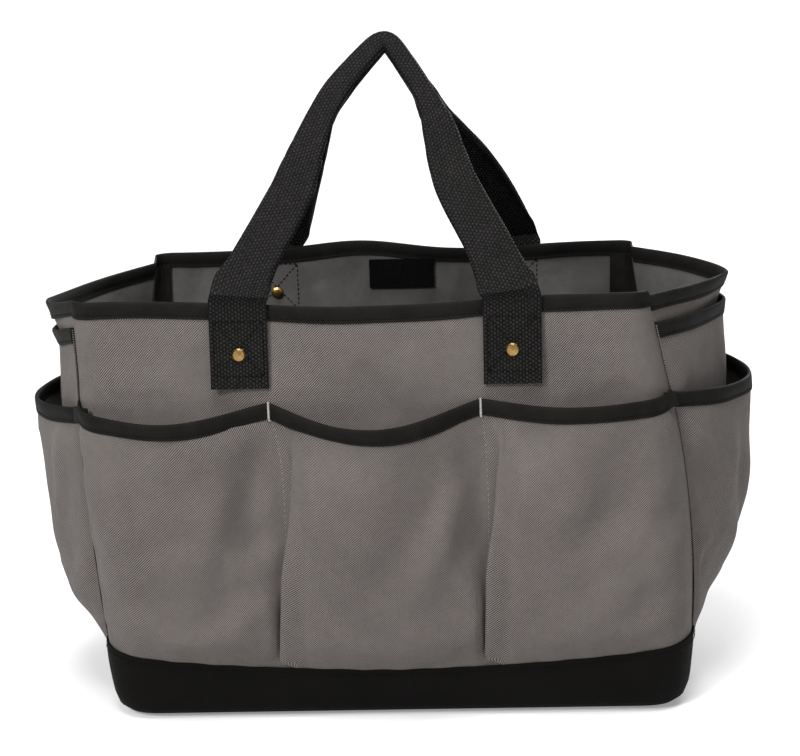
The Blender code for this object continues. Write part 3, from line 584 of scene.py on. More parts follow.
def settled(grid, pinned, outs, room, cap):
    """The grid after a short cloth simulation with a little spare cloth. pinned says how firmly
    each point is held, cap is the furthest that a point may move, and room is how far it may
    move in towards the wall, against outs."""
    rows, columns = grid.shape[:2]
    index = np.arange(rows * columns).reshape(rows, columns)
    faces = np.stack([index[:-1, :-1], index[:-1, 1:], index[1:, 1:], index[1:, :-1]], -1).reshape(-1, 4)
    mesh = bpy.data.meshes.new("settling")
    mesh.from_pydata([tuple(p) for p in grid.reshape(-1, 3)], [], faces.tolist())
    piece = bpy.data.objects.new("settling", mesh)
    bpy.context.collection.objects.link(piece)
    group = piece.vertex_groups.new(name="held")
    for k, weight in enumerate(pinned.ravel()):
        group.add([k], float(weight), "REPLACE")
    modifier = piece.modifiers.new("cloth", "CLOTH")
    settings = modifier.settings
    for name, value in SETTLING.items():
        setattr(settings, name, value)
    settings.vertex_group_mass = "held"
    settings.effector_weights.gravity = 0.12
    modifier.collision_settings.use_collision = False
    modifier.point_cache.frame_start = 1
    modifier.point_cache.frame_end = SETTLING_FRAMES + 1
    scene = bpy.context.scene
    for number in range(1, SETTLING_FRAMES + 1):
        scene.frame_set(number)
    evaluated = piece.evaluated_get(bpy.context.evaluated_depsgraph_get())
    moved = np.empty(rows * columns * 3, np.float32)
    evaluated.data.vertices.foreach_get("co", moved)
    moved = moved.reshape(rows, columns, 3).astype(float) - grid
    bpy.data.objects.remove(piece)
    bpy.data.meshes.remove(mesh)
    scene.frame_set(1)
    moved = softened(moved) * (1.0 - pinned[..., None])
    length = np.linalg.norm(moved, axis=-1, keepdims=True)
    moved = moved * np.minimum(1.0, cap / np.maximum(length, 1e-9))
    inward = -np.sum(moved * outs, axis=-1)
    return grid + outs * np.maximum(inward - room, 0.0)[..., None] + moved


def held_edges(u, v, seam, inside=0.05, at_lip=0.45):
    """Weights that hold a piece at its seams and foot, and a little at its lip and elsewhere.
    seam is the part of its width that is held fast on the left and on the right."""
    left, right = (u - seam[0]) / 0.07, (1.0 - u - seam[1]) / 0.07
    edge = np.minimum(np.minimum(left, right), v / 0.06)
    loose = mix(inside, at_lip, smooth((v - 0.88) / 0.06))
    return np.clip(mix(1.0, loose, smooth(edge)), 0.0, 1.0)


def span(first, last):
    """How many rows of points a cloth grid has from first to last."""
    return max(int(abs(last - first) / CELL), 2) + 1


# Materials ---------------------------------------------------------------------------------
class Graph:
    """Small helper that adds shader nodes and links them."""

    def __init__(self, name):
        self.material = bpy.data.materials.new(name)
        self.material.use_nodes = True
        self.nodes = self.material.node_tree.nodes
        self.links = self.material.node_tree.links
        self.shader = self.nodes["Principled BSDF"]
        uv = self.nodes.new("ShaderNodeUVMap")
        uv.uv_map = "metres"
        self.uv = uv.outputs["UV"]
        self.position = self.nodes.new("ShaderNodeTexCoord").outputs["Object"]

    def plug(self, value, socket):
        if isinstance(value, bpy.types.NodeSocket):
            self.links.new(value, socket)
        else:
            socket.default_value = value

    def maths(self, operation, *values):
        node = self.nodes.new("ShaderNodeMath")
        node.operation = operation
        for socket, value in zip(node.inputs, values):
            self.plug(value, socket)
        return node.outputs[0]

    def axes(self, vector=None):
        node = self.nodes.new("ShaderNodeSeparateXYZ")
        self.links.new(vector or self.uv, node.inputs[0])
        return node.outputs[0], node.outputs[1]

    def wave(self, distance, pitch):
        """Sine of a distance: one full turn each pitch."""
        return self.maths("SINE", self.maths("MULTIPLY", distance, 2 * pi / pitch))

    def noise(self, size, detail=2.0, vector=None, roughness=0.55):
        node = self.nodes.new("ShaderNodeTexNoise")
        node.inputs["Scale"].default_value = 1.0 / size
        node.inputs["Detail"].default_value = detail
        node.inputs["Roughness"].default_value = roughness
        self.links.new(vector or self.position, node.inputs["Vector"])
        return node.outputs["Fac"]

    def vary(self, size, low, high, detail=2.0):
        """Noise of a size in metres, mostly between two values."""
        return self.scale(self.noise(size, detail), low, high, 0.3, 0.7)

    def scale(self, value, low, high, from_low=-1.0, from_high=1.0):
        node = self.nodes.new("ShaderNodeMapRange")
        self.links.new(value, node.inputs["Value"])
        node.inputs["From Min"].default_value = from_low
        node.inputs["From Max"].default_value = from_high
        node.inputs["To Min"].default_value = low
        node.inputs["To Max"].default_value = high
        return node.outputs["Result"]

    def colour(self, factor, dark, light):
        node = self.nodes.new("ShaderNodeMix")
        node.data_type = "RGBA"
        self.plug(factor, node.inputs["Factor"])
        node.inputs[6].default_value = (*dark, 1.0)
        node.inputs[7].default_value = (*light, 1.0)
        return node.outputs[2]

    def tint(self, colour, factor):
        """Colour times a grey factor."""
        node = self.nodes.new("ShaderNodeVectorMath")
        node.operation = "SCALE"
        self.plug(colour, node.inputs[0])
        self.plug(factor, node.inputs["Scale"])
        return node.outputs[0]

    def bump(self, height, distance, strength=1.0, normal=None):
        node = self.nodes.new("ShaderNodeBump")
        node.inputs["Strength"].default_value = strength
        node.inputs["Distance"].default_value = distance
        self.links.new(height, node.inputs["Height"])
        if normal is not None:
            self.links.new(normal, node.inputs["Normal"])
        return node.outputs["Normal"]

    def finish(self, colour, roughness, normal=None, **sockets):
        self.plug(colour, self.shader.inputs["Base Color"])
        self.plug(roughness, self.shader.inputs["Roughness"])
        if normal is not None:
            self.links.new(normal, self.shader.inputs["Normal"])
        for name, value in sockets.items():
            self.shader.inputs[name.replace("_", " ")].default_value = value
        return self.material


def scaled(colour, factor):
    return tuple(c * factor for c in colour)


def woven(name, colour, pitch, contrast, roughness, sheen, gloss):
    """Coarse polyester: diagonal rows of yarn floats with a fainter square weave."""
    g = Graph(name)
    u, v = g.axes()
    wobble = g.scale(g.noise(0.012), -0.0004, 0.0004, 0.0, 1.0)
    u = g.maths("ADD", u, wobble)
    diagonal = g.wave(g.maths("SUBTRACT", u, v), pitch * 2 ** 0.5)
    checks = g.maths("MULTIPLY", g.wave(u, pitch * 1.4), g.wave(v, pitch * 1.4))
    floats = g.maths("ADD", g.maths("MULTIPLY", diagonal, 0.60), g.maths("MULTIPLY", checks, 0.55))
    uneven = g.noise(0.0022, 1.0)
    floats = g.maths("MULTIPLY", floats, g.scale(uneven, 0.35, 1.55, 0.25, 0.75))
    shade = g.scale(floats, 0.0, 1.0, -0.65, 0.65)
    weave = g.colour(shade, scaled(colour, 1.0 - contrast), scaled(colour, 1.0 + contrast))
    patches = g.vary(0.045, 0.93, 1.06, 3.0)
    slubs = g.vary(0.006, 0.95, 1.05)
    tinted = g.tint(weave, g.maths("MULTIPLY", patches, slubs))
    normal = g.bump(floats, 0.00016, 0.55)
    rough = g.vary(0.02, roughness - 0.05, roughness + 0.05)
    return g.finish(tinted, rough, normal, Sheen_Weight=sheen, Sheen_Roughness=0.45,
                    Specular_IOR_Level=gloss)


def coated(name, colour):
    """Inner side of the cloth: a thin grey coating through which the weave just shows."""
    g = Graph(name)
    u, v = g.axes()
    checks = g.maths("MULTIPLY", g.wave(u, 0.0014), g.wave(v, 0.0014))
    cloudy = g.vary(0.030, 0.86, 1.14, 3.0)
    rubbed = g.vary(0.0035, 0.94, 1.07)
    tinted = g.tint(colour, g.maths("MULTIPLY", cloudy, rubbed))
    creases = g.bump(g.noise(0.010, 3.0), 0.0006, 0.45)
    normal = g.bump(checks, 0.00005, 0.35, creases)
    rough = g.vary(0.015, 0.42, 0.58)
    return g.finish(tinted, rough, normal, Specular_IOR_Level=0.25)


def webbing(name, colour):
    """Woven strap: columns of warp floats that pass over and under the weft in turn, with painted
    highlights on the floats.
    """
    g = Graph(name)
    u, v = g.axes()
    column, row = 0.00205, 0.00270
    shift = g.maths("MULTIPLY", g.maths("FLOOR", g.maths("DIVIDE", u, column)), row / 2)
    rib = g.maths("ABSOLUTE", g.maths("SINE", g.maths("MULTIPLY", u, pi / column)))
    float_wave = g.wave(g.maths("ADD", v, shift), row)
    floats = g.maths("MULTIPLY", g.maths("POWER", rib, 0.6), g.scale(float_wave, 0.15, 1.0))
    # The float pattern is the real weave, but its colour carries painted highlights and shade: lit floats
    # up to 6.5 times lighter than the strap's black, the gaps 0.12 times as light.
    painted_float_highlights = g.maths("MULTIPLY", floats, g.vary(0.0016, 0.4, 1.4, 1.0))
    weave = g.colour(painted_float_highlights, scaled(colour, 0.12), scaled(colour, 6.5))
    patches = g.vary(0.02, 0.85, 1.15)
    normal = g.bump(floats, 0.00045, 0.9)
    return g.finish(g.tint(weave, patches), 0.58, normal, Specular_IOR_Level=0.06)


def ribbed(name, colour):
    """Binding tape: fine cross ribs, a little rubbed."""
    g = Graph(name)
    ribs = g.wave(g.axes()[1], 0.0007)
    fine = g.maths("MULTIPLY", ribs, g.vary(0.0012, 0.3, 1.3, 1.0))
    weave = g.colour(g.scale(fine, 0.0, 1.0), scaled(colour, 0.72), scaled(colour, 1.32))
    patches = g.vary(0.012, 0.82, 1.2, 3.0)
    normal = g.bump(fine, 0.00010, 0.6, g.bump(g.noise(0.004, 2.0), 0.0003, 0.4))
    return g.finish(g.tint(weave, patches), 0.62, normal, Specular_IOR_Level=0.05)


def thread(name, colour, gloss):
    g = Graph(name)
    patches = g.vary(0.0009, 0.75, 1.25, 1.0)
    normal = g.bump(g.noise(0.0004, 1.0), 0.0001, 0.6)
    return g.finish(g.tint(colour, patches), 0.55, normal, Specular_IOR_Level=gloss)


def bristly(name, colour, size):
    g = Graph(name)
    tufts = g.noise(size, 3.0, roughness=0.8)
    weave = g.colour(g.scale(tufts, 0.0, 1.0, 0.35, 0.65), scaled(colour, 0.4), scaled(colour, 1.9))
    return g.finish(weave, 0.75, g.bump(tufts, 0.0012, 1.0), Specular_IOR_Level=0.05)


def brass(name):
    g = Graph(name)
    worn = g.noise(0.0016, 3.0)
    colour = g.colour(g.scale(worn, 0.0, 1.0, 0.3, 0.7), (0.24, 0.14, 0.045), (0.42, 0.28, 0.11))
    rough = g.vary(0.0008, 0.26, 0.42)
    return g.finish(colour, rough, g.bump(worn, 0.00005, 0.3), Metallic=1.0)


def plain(name, colour, roughness, glow):
    g = Graph(name)
    return g.finish((*colour, 1.0), roughness, Emission_Color=(1.0, 1.0, 1.0, 1.0), Emission_Strength=glow)


GREY = woven("grey_polyester", (0.100, 0.089, 0.084), pitch=0.00112, contrast=0.95, roughness=0.78,
             sheen=0.04, gloss=0.12)
GREY_INSIDE = coated("grey_coating", (0.070, 0.068, 0.066))
BOOT_CLOTH = woven("black_polyester", (0.0042, 0.0039, 0.0036), pitch=0.00110, contrast=0.90,
                   roughness=0.70, sheen=0.0, gloss=0.035)
BOOT_INSIDE = coated("black_coating", (0.012, 0.012, 0.012))
BINDING = ribbed("black_binding", (0.0074, 0.0069, 0.0065))
STRAP = webbing("black_webbing", (0.0030, 0.0028, 0.0027))
DARK_THREAD = thread("black_thread", (0.0035, 0.0035, 0.0035), gloss=0.05)
GREY_THREAD = thread("grey_thread", (0.30, 0.29, 0.27), gloss=0.2)
SEAM_THREAD = thread("seam_thread", (0.17, 0.16, 0.15), gloss=0.2)
HOOK = bristly("hook_tape", (0.0022, 0.0022, 0.0022), size=0.0009)
LOOP = bristly("loop_tape", (0.010, 0.010, 0.010), size=0.0016)
BRASS = brass("brass")
BOARD = coated("board_cover", (0.024, 0.024, 0.025))


# Walls -------------------------------------------------------------------------------------
def wall_panel_grid(wall):
    columns = span(0.0, END_WALL if wall.endswith("_end") else LONG_WALL)
    rows = span(WALL_FOOT, 0.29)
    u, v = np.meshgrid(np.linspace(0.0, 1.0, columns), np.linspace(0.0, 1.0, rows))
    z = mix(WALL_FOOT, rim_height(wall, u), v)
    return layer(wall, u, z, wall_relief(wall, u, z) * smooth((z - 0.05) / 0.05))


def make_walls():
    for k, wall in enumerate(WALLS):
        grid = wall_panel_grid(wall)
        piece = own(cloth(wall + "_cloth", grid, [GREY, GREY_INSIDE]), "wall_cloth", wall + "_panel")
        side = wall.replace("_end", "")
        edge = tape_on_grid(side + "_rim_tape", grid, side + "_rim_binding", k)
        flat_size(grid)


def make_seam_tapes():
    """Tape over the raw edges inside each corner."""
    for wall in ("front", "back"):
        for name, from_left in zip(WALL_CORNERS[wall], (True, False)):
            inner = np.linspace(0.004, CORNER_TAPE_REACH["left" if "left" in name else "right"], 14)
            us = inner if from_left else 1.0 - inner[::-1]
            u, v = np.meshgrid(us, np.linspace(0.0, 1.0, 70))
            z = mix(0.045, rim_height(wall, u) - 0.009, v)
            pucker = 0.0006 * ripple(u * 0.4, z, 0.012, 70 + len(name)) * smooth((z - 0.05) / 0.02)
            depth = wall_relief(wall, u, z) - CLOTH / 2 - TAPE / 2 - 0.0005
            grid = layer(wall, u, z, depth - np.abs(pucker))
            piece = cloth(name + "_corner_tape", grid, [BINDING], TAPE)
            own(piece, "binding_tape", name + "_seam_tape")
            flat_size(grid)


# Boot --------------------------------------------------------------------------------------
def boot_ring(height, offset):
    """Closed loop round the bag, at an offset from the walls. Height is a number or a function of x."""
    points = []
    for wall in WALLS:
        count = 96 if not wall.endswith("_end") else 56
        points.append(plan(wall, np.linspace(0.0, 1.0, count, endpoint=False), np.full(count, 0.03)))
    points = np.concatenate(points)
    tangent = unit(np.roll(points, -1, 0) - np.roll(points, 1, 0))
    moved = points + np.stack([tangent[:, 1], -tangent[:, 0]], -1) * np.reshape(offset, (-1, 1))
    z = np.broadcast_to(height(moved[:, 0]) if callable(height) else height, len(moved))
    return np.concatenate([moved, np.reshape(z, (-1, 1))], -1)


def boot_band(share):
    """Heights of a loop that is this share of the way up the boot's band."""
    return lambda x: mix(BOOT_OUTSIDE[-1][0], boot_top(x) - BOOT_LIP_ROUND, share)


def drawn_in(ring, share):
    return ring * np.array([share, share, 1.0])


def make_boot():
    loop = boot_ring(0.0, 0.0)
    turn = np.linspace(0.0, 2 * pi, len(loop), endpoint=False)
    uneven = 0.0005 * np.sin(7 * turn + 1.0) + 0.0004 * np.sin(17 * turn + 2.2)
    foot_offset = BOOT_OUTSIDE[-1][1]
    under = boot_ring(0.0, BOOT_OUTSIDE[0][1])
    loops = [drawn_in(under, mix(0.02, 1.0, share)) for share in (0.0, 0.25, 0.5, 0.75)]
    loops += [boot_ring(z, offset) for z, offset in BOOT_OUTSIDE]
    for share in np.linspace(0.1, 1.0, 9):
        offset = mix(foot_offset, BOOT_TOP_OFFSET, share) + uneven * sin(pi * share * 0.9)
        offset = offset - 0.0003 * np.exp(-((share - 0.87) / 0.05) ** 2)
        loops.append(boot_ring(boot_band(share), offset))
    loops.append(boot_ring(boot_top, BOOT_TOP_OFFSET - 0.0002))
    loops.append(boot_ring(boot_top, BOOT_TOP_OFFSET - BOOT_WALL))
    for share in np.linspace(0.9, 0.0, 6):
        offset = mix(foot_offset, BOOT_TOP_OFFSET, share) - BOOT_WALL
        loops.append(boot_ring(boot_band(share), offset))
    for z, offset in BOOT_OUTSIDE[-2:0:-1]:
        loops.append(boot_ring(z + BOOT_FLOOR_WALL, offset - BOOT_WALL))
    floor = boot_ring(0.0016, BOOT_OUTSIDE[1][1] - BOOT_WALL)
    loops += [drawn_in(floor, mix(0.02, 1.0, share)) for share in (0.75, 0.5, 0.25, 0.0)]
    sections = np.stack(loops)
    up = path_lengths(sections[:, 40])
    piece = sweep("base_boot_cloth", sections, path_lengths(loop), up, [BOOT_CLOTH, BOOT_INSIDE])
    own(piece, "base_cloth", "base_boot")

    def row_height(x):
        return boot_top(x) - 0.0045

    row = boot_ring(row_height, BOOT_TOP_OFFSET + 0.0001)
    outs = unit(row - boot_ring(row_height, 0.0))
    row, outs = (np.concatenate([points, points[:1]]) for points in (row, outs))
    own(stitches("boot_stitches", row, outs, DARK_THREAD), "base_cloth")


def make_board():
    """Stiff covered board on the bottom, with rounded edges."""
    low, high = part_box("base_board")
    inset = 0.0200
    levels = ((low[2], 0.0012), (low[2] + 0.0006, 0.0002), (high[2] - 0.0006, 0.0), (high[2], 0.0010))
    rings = [boot_ring(z, -inset - pull) for z, pull in levels]
    top = boot_ring(high[2], -inset)
    rings += [drawn_in(top, share) for share in (0.8, 0.5, 0.2, 0.02)]
    sections = np.stack(rings)
    around, up = path_lengths(sections[0]), path_lengths(sections[:, 0])
    own(sweep("base_board_cover", sections, around, up, [BOARD]), "board", "base_board")


# Pockets -----------------------------------------------------------------------------------
def edge_u(wall, side, z):
    if side == 0:
        return np.full_like(z, 0.0015)
    if side == 3:
        return np.full_like(z, 0.9985)
    low, high = DIVIDERS[wall][side - 1]
    top = POCKET_LIP - BINDING_DEPTH
    down = np.clip((top - z) / (top - BOOT_HEIGHT), 0.0, 1.0)
    bow = DIVIDER_BOW[wall][side - 1] * np.sin(pi * down ** 0.6)
    return u_at_x(wall, mix(low, high, z / POCKET_LIP) + bow, z)


def pouch_grid(wall, index):
    """One pouch: a face that stands proud, pleated beside the stitch line on its left."""
    pleated = index > 0
    shares = np.concatenate([np.linspace(0.0, PLEAT_SHARE, PLEAT_COLUMNS, endpoint=False),
                             np.linspace(PLEAT_SHARE, 1.0, 46)])
    s, v = np.meshgrid(shares, np.linspace(0.0, 1.0, 66))
    lip = POCKET_LIP - POCKET_SAG[wall][index] * np.sin(pi * s)
    z = mix(BOOT_HEIGHT, lip, v)
    u = mix(edge_u(wall, index, z), edge_u(wall, index + 1, z), s)
    foot = boot_top(plan(wall, u, z)[..., 0]) - 0.006
    z = mix(foot, lip, v)
    left, right = edge_u(wall, index, z), edge_u(wall, index + 1, z)
    width = np.linalg.norm(plan(wall, right, z) - plan(wall, left, z), axis=-1)

    fall_width = mix(FALL_LOW, FALL_HIGH[index], smooth((v - 0.22) / 0.35))
    fall_width = FALL_HIGH[index] if index == 2 else fall_width
    recess = RECESS[index] * smooth((v - 0.25) / 0.30) * (1.0 - smooth((v - 0.80) / 0.18))
    fall = smooth(((1.0 - s) * width - recess) / fall_width)
    low_band = 0.14 * smooth((1.0 - s) * width / 0.010) * smooth(recess / 0.010)
    face = smooth(s * width / RISE_WIDTH[index]) * mix(low_band, 1.0, fall)
    at_lip = np.sin(pi * s ** (1.0 if index == 0 else 0.86)) ** 1.45
    shape = mix(face, at_lip, smooth((v - 0.62) / 0.36))
    fullness = 0.27 * smooth((v - 0.02) / 0.14) + 0.73 * np.clip(v, 0.0, 1.0) ** 0.9
    bulge = POCKET_BULGE[wall][index] * fullness * shape

    sideways = s * width
    if pleated:
        q = np.clip(s / PLEAT_SHARE, 0.0, 1.0)
        end_side = PLEAT_SHARE * width
        end_out = bulge[:, [PLEAT_COLUMNS]]
        closed = mix(read(LOW_PLEAT, q), read(HIGH_PLEAT, q), smooth((v - 0.35) / 0.35)[..., None])
        side, out = closed[..., 0], closed[..., 1] * (0.45 + 0.55 * smooth((v - 0.03) / 0.18))
        last = smooth((q - 0.90) / 0.10)
        side = mix(side, end_side, last)
        out = mix(out, end_out, last)
        shut = (1.0 - smooth((v - 0.66) / 0.26)) * smooth((v - 0.02) / 0.05)
        inside = s < PLEAT_SHARE
        sideways = np.where(inside, mix(sideways, side, shut), sideways)
        bulge = np.where(inside, mix(bulge, out, shut), bulge)
    u = mix(left, right, sideways / width)
    a = plan(wall, u, z)[..., 0]
    free = smooth(np.minimum(s - (PLEAT_SHARE if pleated else 0.0), 1.0 - s) / 0.10)
    free = free * smooth((v - 0.05) / 0.10) * smooth((1.0 - v) / 0.10 + 0.12)
    seed = 20 + index + (3 if wall == "back" else 0)
    relief = free * (fold_relief(a, z, POUCH_FOLDS[wall]) + 0.0010 * ripple(a, z, 0.042, seed))
    gathers = 0.0005 * np.sin(a / 0.0042 + index) * np.exp(-((v - 0.07) / 0.05) ** 2)
    seat = mix(POUCH_SEAT, 0.0010, smooth((0.05 - v) / 0.05))
    grid = layer(wall, u, z, seat + bulge + relief + gathers)
    seam = (PLEAT_SHARE if pleated else 0.01, 0.03)
    outs = three(outward(wall, u, z))
    return settled(grid, held_edges(s, v, seam), outs, 0.8 * (bulge + relief + gathers), POUCH_SLACK)


def make_pouches(wall):
    names = ("left", "middle", "right") if wall == "front" else ("right", "middle", "left")
    grids = [pouch_grid(wall, index) for index in range(3)]
    for index, (side, grid) in enumerate(zip(names, grids)):
        node = f"{wall}_pocket_{side}"
        piece = own(cloth(node + "_cloth", grid, [GREY, GREY_INSIDE]), "wall_cloth", node)
        flat_size(grid)
    top = np.concatenate([grid[-4:] for grid in grids], axis=1)
    keep = np.concatenate([[True], np.linalg.norm(np.diff(top[-1], axis=0), axis=-1) > 2e-4])
    seed = 5 if wall == "front" else 9
    tape_on_grid(f"{wall}_pocket_tape", top[:, keep], f"{wall}_pocket_binding", seed)
    for divider in (1, 2):
        z = np.linspace(boot_top(0.07) + 0.001, POCKET_LIP - BINDING_DEPTH - 0.001, 60)
        u = edge_u(wall, divider, z)
        outs = three(outward(wall, u, z))
        path = layer(wall, u, z, POUCH_SEAT + CLOTH / 2)
        own(stitches(f"{wall}_divider_stitches_{divider}", path, outs, SEAM_THREAD, length=0.0024,
                     gap=0.0018, radius=0.00022), "wall_cloth")
        make_bar_tack(wall, divider)


def make_bar_tack(wall, divider):
    """Dense light bar of thread over the binding where the pocket is sewn to the wall."""
    rib = 0.00038
    z = np.arange(POCKET_LIP + 0.0022, POCKET_LIP - BINDING_DEPTH - 0.0010, -rib / 4)
    u = edge_u(wall, divider, z)
    outs = three(outward(wall, u, z))
    path = layer(wall, u, z, POUCH_SEAT + CLOTH / 2 + TAPE + 0.0008)
    side = unit(np.cross(outs, np.array([0.0, 0.0, 1.0])))
    ends = smooth(np.minimum(np.arange(len(z)), np.arange(len(z))[::-1]) / 6.0 + 0.15)
    swell = ends * (1.0 + 0.16 * np.cos(2 * pi * np.arange(len(z)) / 4))
    turn = np.linspace(0.0, 2 * pi, 12, endpoint=False)
    wide, deep = 0.00072, 0.00042
    sections = (path[:, None] + side[:, None] * (wide * swell[:, None] * np.cos(turn))[..., None]
                + outs[:, None] * (deep * swell[:, None] * np.sin(turn))[..., None])
    piece = sweep(f"{wall}_bar_tack_{divider}", sections, turn * wide, path_lengths(path), [GREY_THREAD])
    own(piece, "binding_tape")


def end_pocket_grid(wall, kind):
    columns, rows = span(0.0, 0.24), span(0.0, 0.18)
    u, v = np.meshgrid(np.linspace(0.0015, 0.9985, columns), np.linspace(0.0, 1.0, rows))
    if kind == "tall":
        z = mix(TALL_FOOT, rim_height(wall, u) - TALL_DROP, v)
        fullness = smooth(v * 2.5) * (1.0 - 0.62 * smooth(v * 2.0 - 1.0))
        bulge = TALL_BULGE * np.sin(pi * u) * fullness
        seat = 0.0016
        relief = fold_relief(across(wall, u, z), z, FOLDS[wall])
    else:
        foot = boot_top(plan(wall, u, np.full_like(u, 0.03))[..., 0]) - 0.006
        z = mix(foot, LOW_LIP[wall] - LOW_SAG[wall] * np.sin(pi * u), v)
        empty = 1.0 - np.clip(v / LOW_FILLING[wall], 0.0, 1.0)
        fullness = (1.0 - empty ** 1.6) * (1.0 - 0.30 * v)
        bulge = LOW_BULGE * np.sin(pi * u) ** mix(0.40, 0.85, smooth(v / 0.7)) * fullness
        seat = mix(0.0018, 0.0030, smooth(np.minimum(u, 1.0 - u) / 0.02))
        relief = fold_relief(across(wall, u, z), z, END_FOLDS[wall])
    seed = 30 + WALLS.index(wall) + (5 if kind == "low" else 0)
    free = smooth(np.minimum(u, 1.0 - u) / 0.05)
    free = free * smooth((v - 0.03) / 0.1) * smooth((1.0 - v) / 0.08 + 0.15)
    relief = free * (relief + 0.0012 * ripple(across(wall, u, z), z, 0.045, seed))
    grid = layer(wall, u, z, seat + bulge + relief)
    cap = POUCH_SLACK if kind == "low" else TALL_SLACK
    outs = three(outward(wall, u, z))
    return settled(grid, held_edges(u, v, (0.01, 0.01)), outs, 0.8 * (bulge + relief), cap)


def make_end_pockets(wall):
    side = wall.replace("_end", "")
    for k, kind in enumerate(("tall", "low")):
        grid = end_pocket_grid(wall, kind)
        node = f"{side}_{kind}_pocket"
        piece = own(cloth(node + "_cloth", grid, [GREY, GREY_INSIDE]), "wall_cloth", node)
        flat_size(grid)
        tape_on_grid(node + "_tape", grid, node + "_binding", 11 + k + 2 * WALLS.index(wall))
    make_tape_end(wall)


def make_tape_end(wall):
    """The low pocket's binding, folded round the corner and sewn over the front pocket's."""
    at_left = wall == "left_end"
    share = np.linspace(0.002, 0.050 if at_left else 0.034, 14)
    u, v = np.meshgrid(share if at_left else 1.0 - share[::-1], np.linspace(0.0, 1.0, 6))
    top = LOW_LIP[wall] + 0.0020
    z = mix(top - BINDING_DEPTH, top, v) + 0.0022 * smooth(np.minimum(u, 1.0 - u) / 0.05)
    away = POUCH_SEAT + CLOTH / 2 + 2.0 * TAPE + 0.0016
    name = wall.replace("_end", "") + "_low_pocket_tape_end"
    own(cloth(name, layer("front", u, z, away), [BINDING], 2.0 * TAPE), "binding_tape")


# Handles -----------------------------------------------------------------------------------
def rolled_section(width, count=23):
    """Middle line of a strap whose long edges roll behind it until it looks this wide."""
    half = STRAP_WIDTH / 2
    radius = ROLL_RADIUS
    amount = float(smooth((STRAP_WIDTH - width) / 0.006))
    flat = width / 2 - radius * amount
    points = []
    for s in np.linspace(-half, half, count):
        extra = max(abs(s) - flat, 0.0)
        angle = min(extra / radius, pi)
        back = max(extra - pi * radius, 0.0)
        reach = min(abs(s), flat) + radius * sin(angle) - back
        reach = max(reach, 0.0007 + 0.0002 * back / radius) if back > 0 else reach
        points.append((np.sign(s) * reach, -radius * (1.0 - cos(angle))))
    return np.array(points), np.linspace(-half, half, count)


def handle_stations(wall):
    """Centres, tangents, facing directions and widths of a handle's strap, and its hinge."""
    facing = -1.0 if wall == "front" else 1.0
    joint = next(j for j in frame["record"]["behaviour"]["joints"] if j["name"] == f"{wall}_handle_fold")
    hinge = np.array([0.0, *joint["pos_m"][1:]])
    rise = np.array([0.0, facing * GRIP_Y, GRIP_Z]) - hinge
    length = np.linalg.norm(rise)
    up = rise / length
    right = np.array([1.0, 0.0, 0.0])
    normal = np.cross(right, up)
    if wall == "back":
        normal = -normal
    route = np.array(HANDLE_ROUTES[wall])
    steps = np.linspace(0.0, len(route) - 1.0, LOOP_STATIONS)
    rows = read(np.concatenate([np.arange(len(route))[:, None], route], 1), steps)
    centres = hinge + right * rows[:, :1] + up * rows[:, 1:2] * length
    tangents = unit(np.gradient(centres, axis=0))
    tangents[0], tangents[-1] = up, -up
    widths = rows[:, 2]
    legs = []
    for x, inward in zip(STRAP_X[wall], (True, False)):
        z = np.linspace(STRAP_BOTTOM, hinge[2] - 0.004, LEG_STATIONS)
        u = u_at_x(wall, x, z)
        leg = layer(wall, u, z, STRAP_OFFSET)
        legs.append(leg if inward else leg[::-1])
    centres = np.concatenate([legs[0], centres, legs[1]])
    down, up_again = (unit(np.gradient(leg, axis=0)) for leg in legs)
    tangents = np.concatenate([down, tangents, up_again])
    full_width = np.full(LEG_STATIONS, STRAP_WIDTH)
    widths = np.concatenate([full_width, widths, full_width])
    off_wall = np.tile([0.0, facing, 0.0], (LEG_STATIONS, 1))
    faces = np.concatenate([off_wall, np.tile(normal, (LOOP_STATIONS, 1)), off_wall])
    for directions in (faces, tangents):
        for k in range(3):
            padded = np.pad(directions[:, k], 2, mode="edge")
            directions[:, k] = np.convolve(padded, np.ones(5) / 5, "valid")
    return centres, unit(tangents), unit(faces), widths, hinge


def make_handle(wall):
    centres, tangents, faces, widths, hinge = handle_stations(wall)
    sides = unit(np.cross(tangents, faces))
    faces = unit(np.cross(sides, tangents))
    sections = []
    for centre, side, face, width in zip(centres, sides, faces, widths):
        middle, strip = rolled_section(width)
        direction = unit(np.gradient(middle, axis=0))
        square = np.stack([-direction[:, 1], direction[:, 0]], -1) * WEBBING / 2
        loop = np.concatenate([middle + square, (middle - square)[::-1]])
        sections.append(centre + side * loop[:, :1] + face * loop[:, 1:])
    sections = np.stack(sections)
    strip_uv = np.concatenate([strip, strip[::-1]])
    piece = sweep(wall + "_handle_webbing", sections, strip_uv, path_lengths(centres), [STRAP])
    tabs = [f"{wall}_{side}_handle_tab" for side in ("left", "right")]
    own(piece, "webbing", f"{wall}_handle", *tabs, body=None)
    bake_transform(piece)
    for side, x in zip(("left", "right"), STRAP_X[wall]):
        make_box_stitches(wall, side, x)


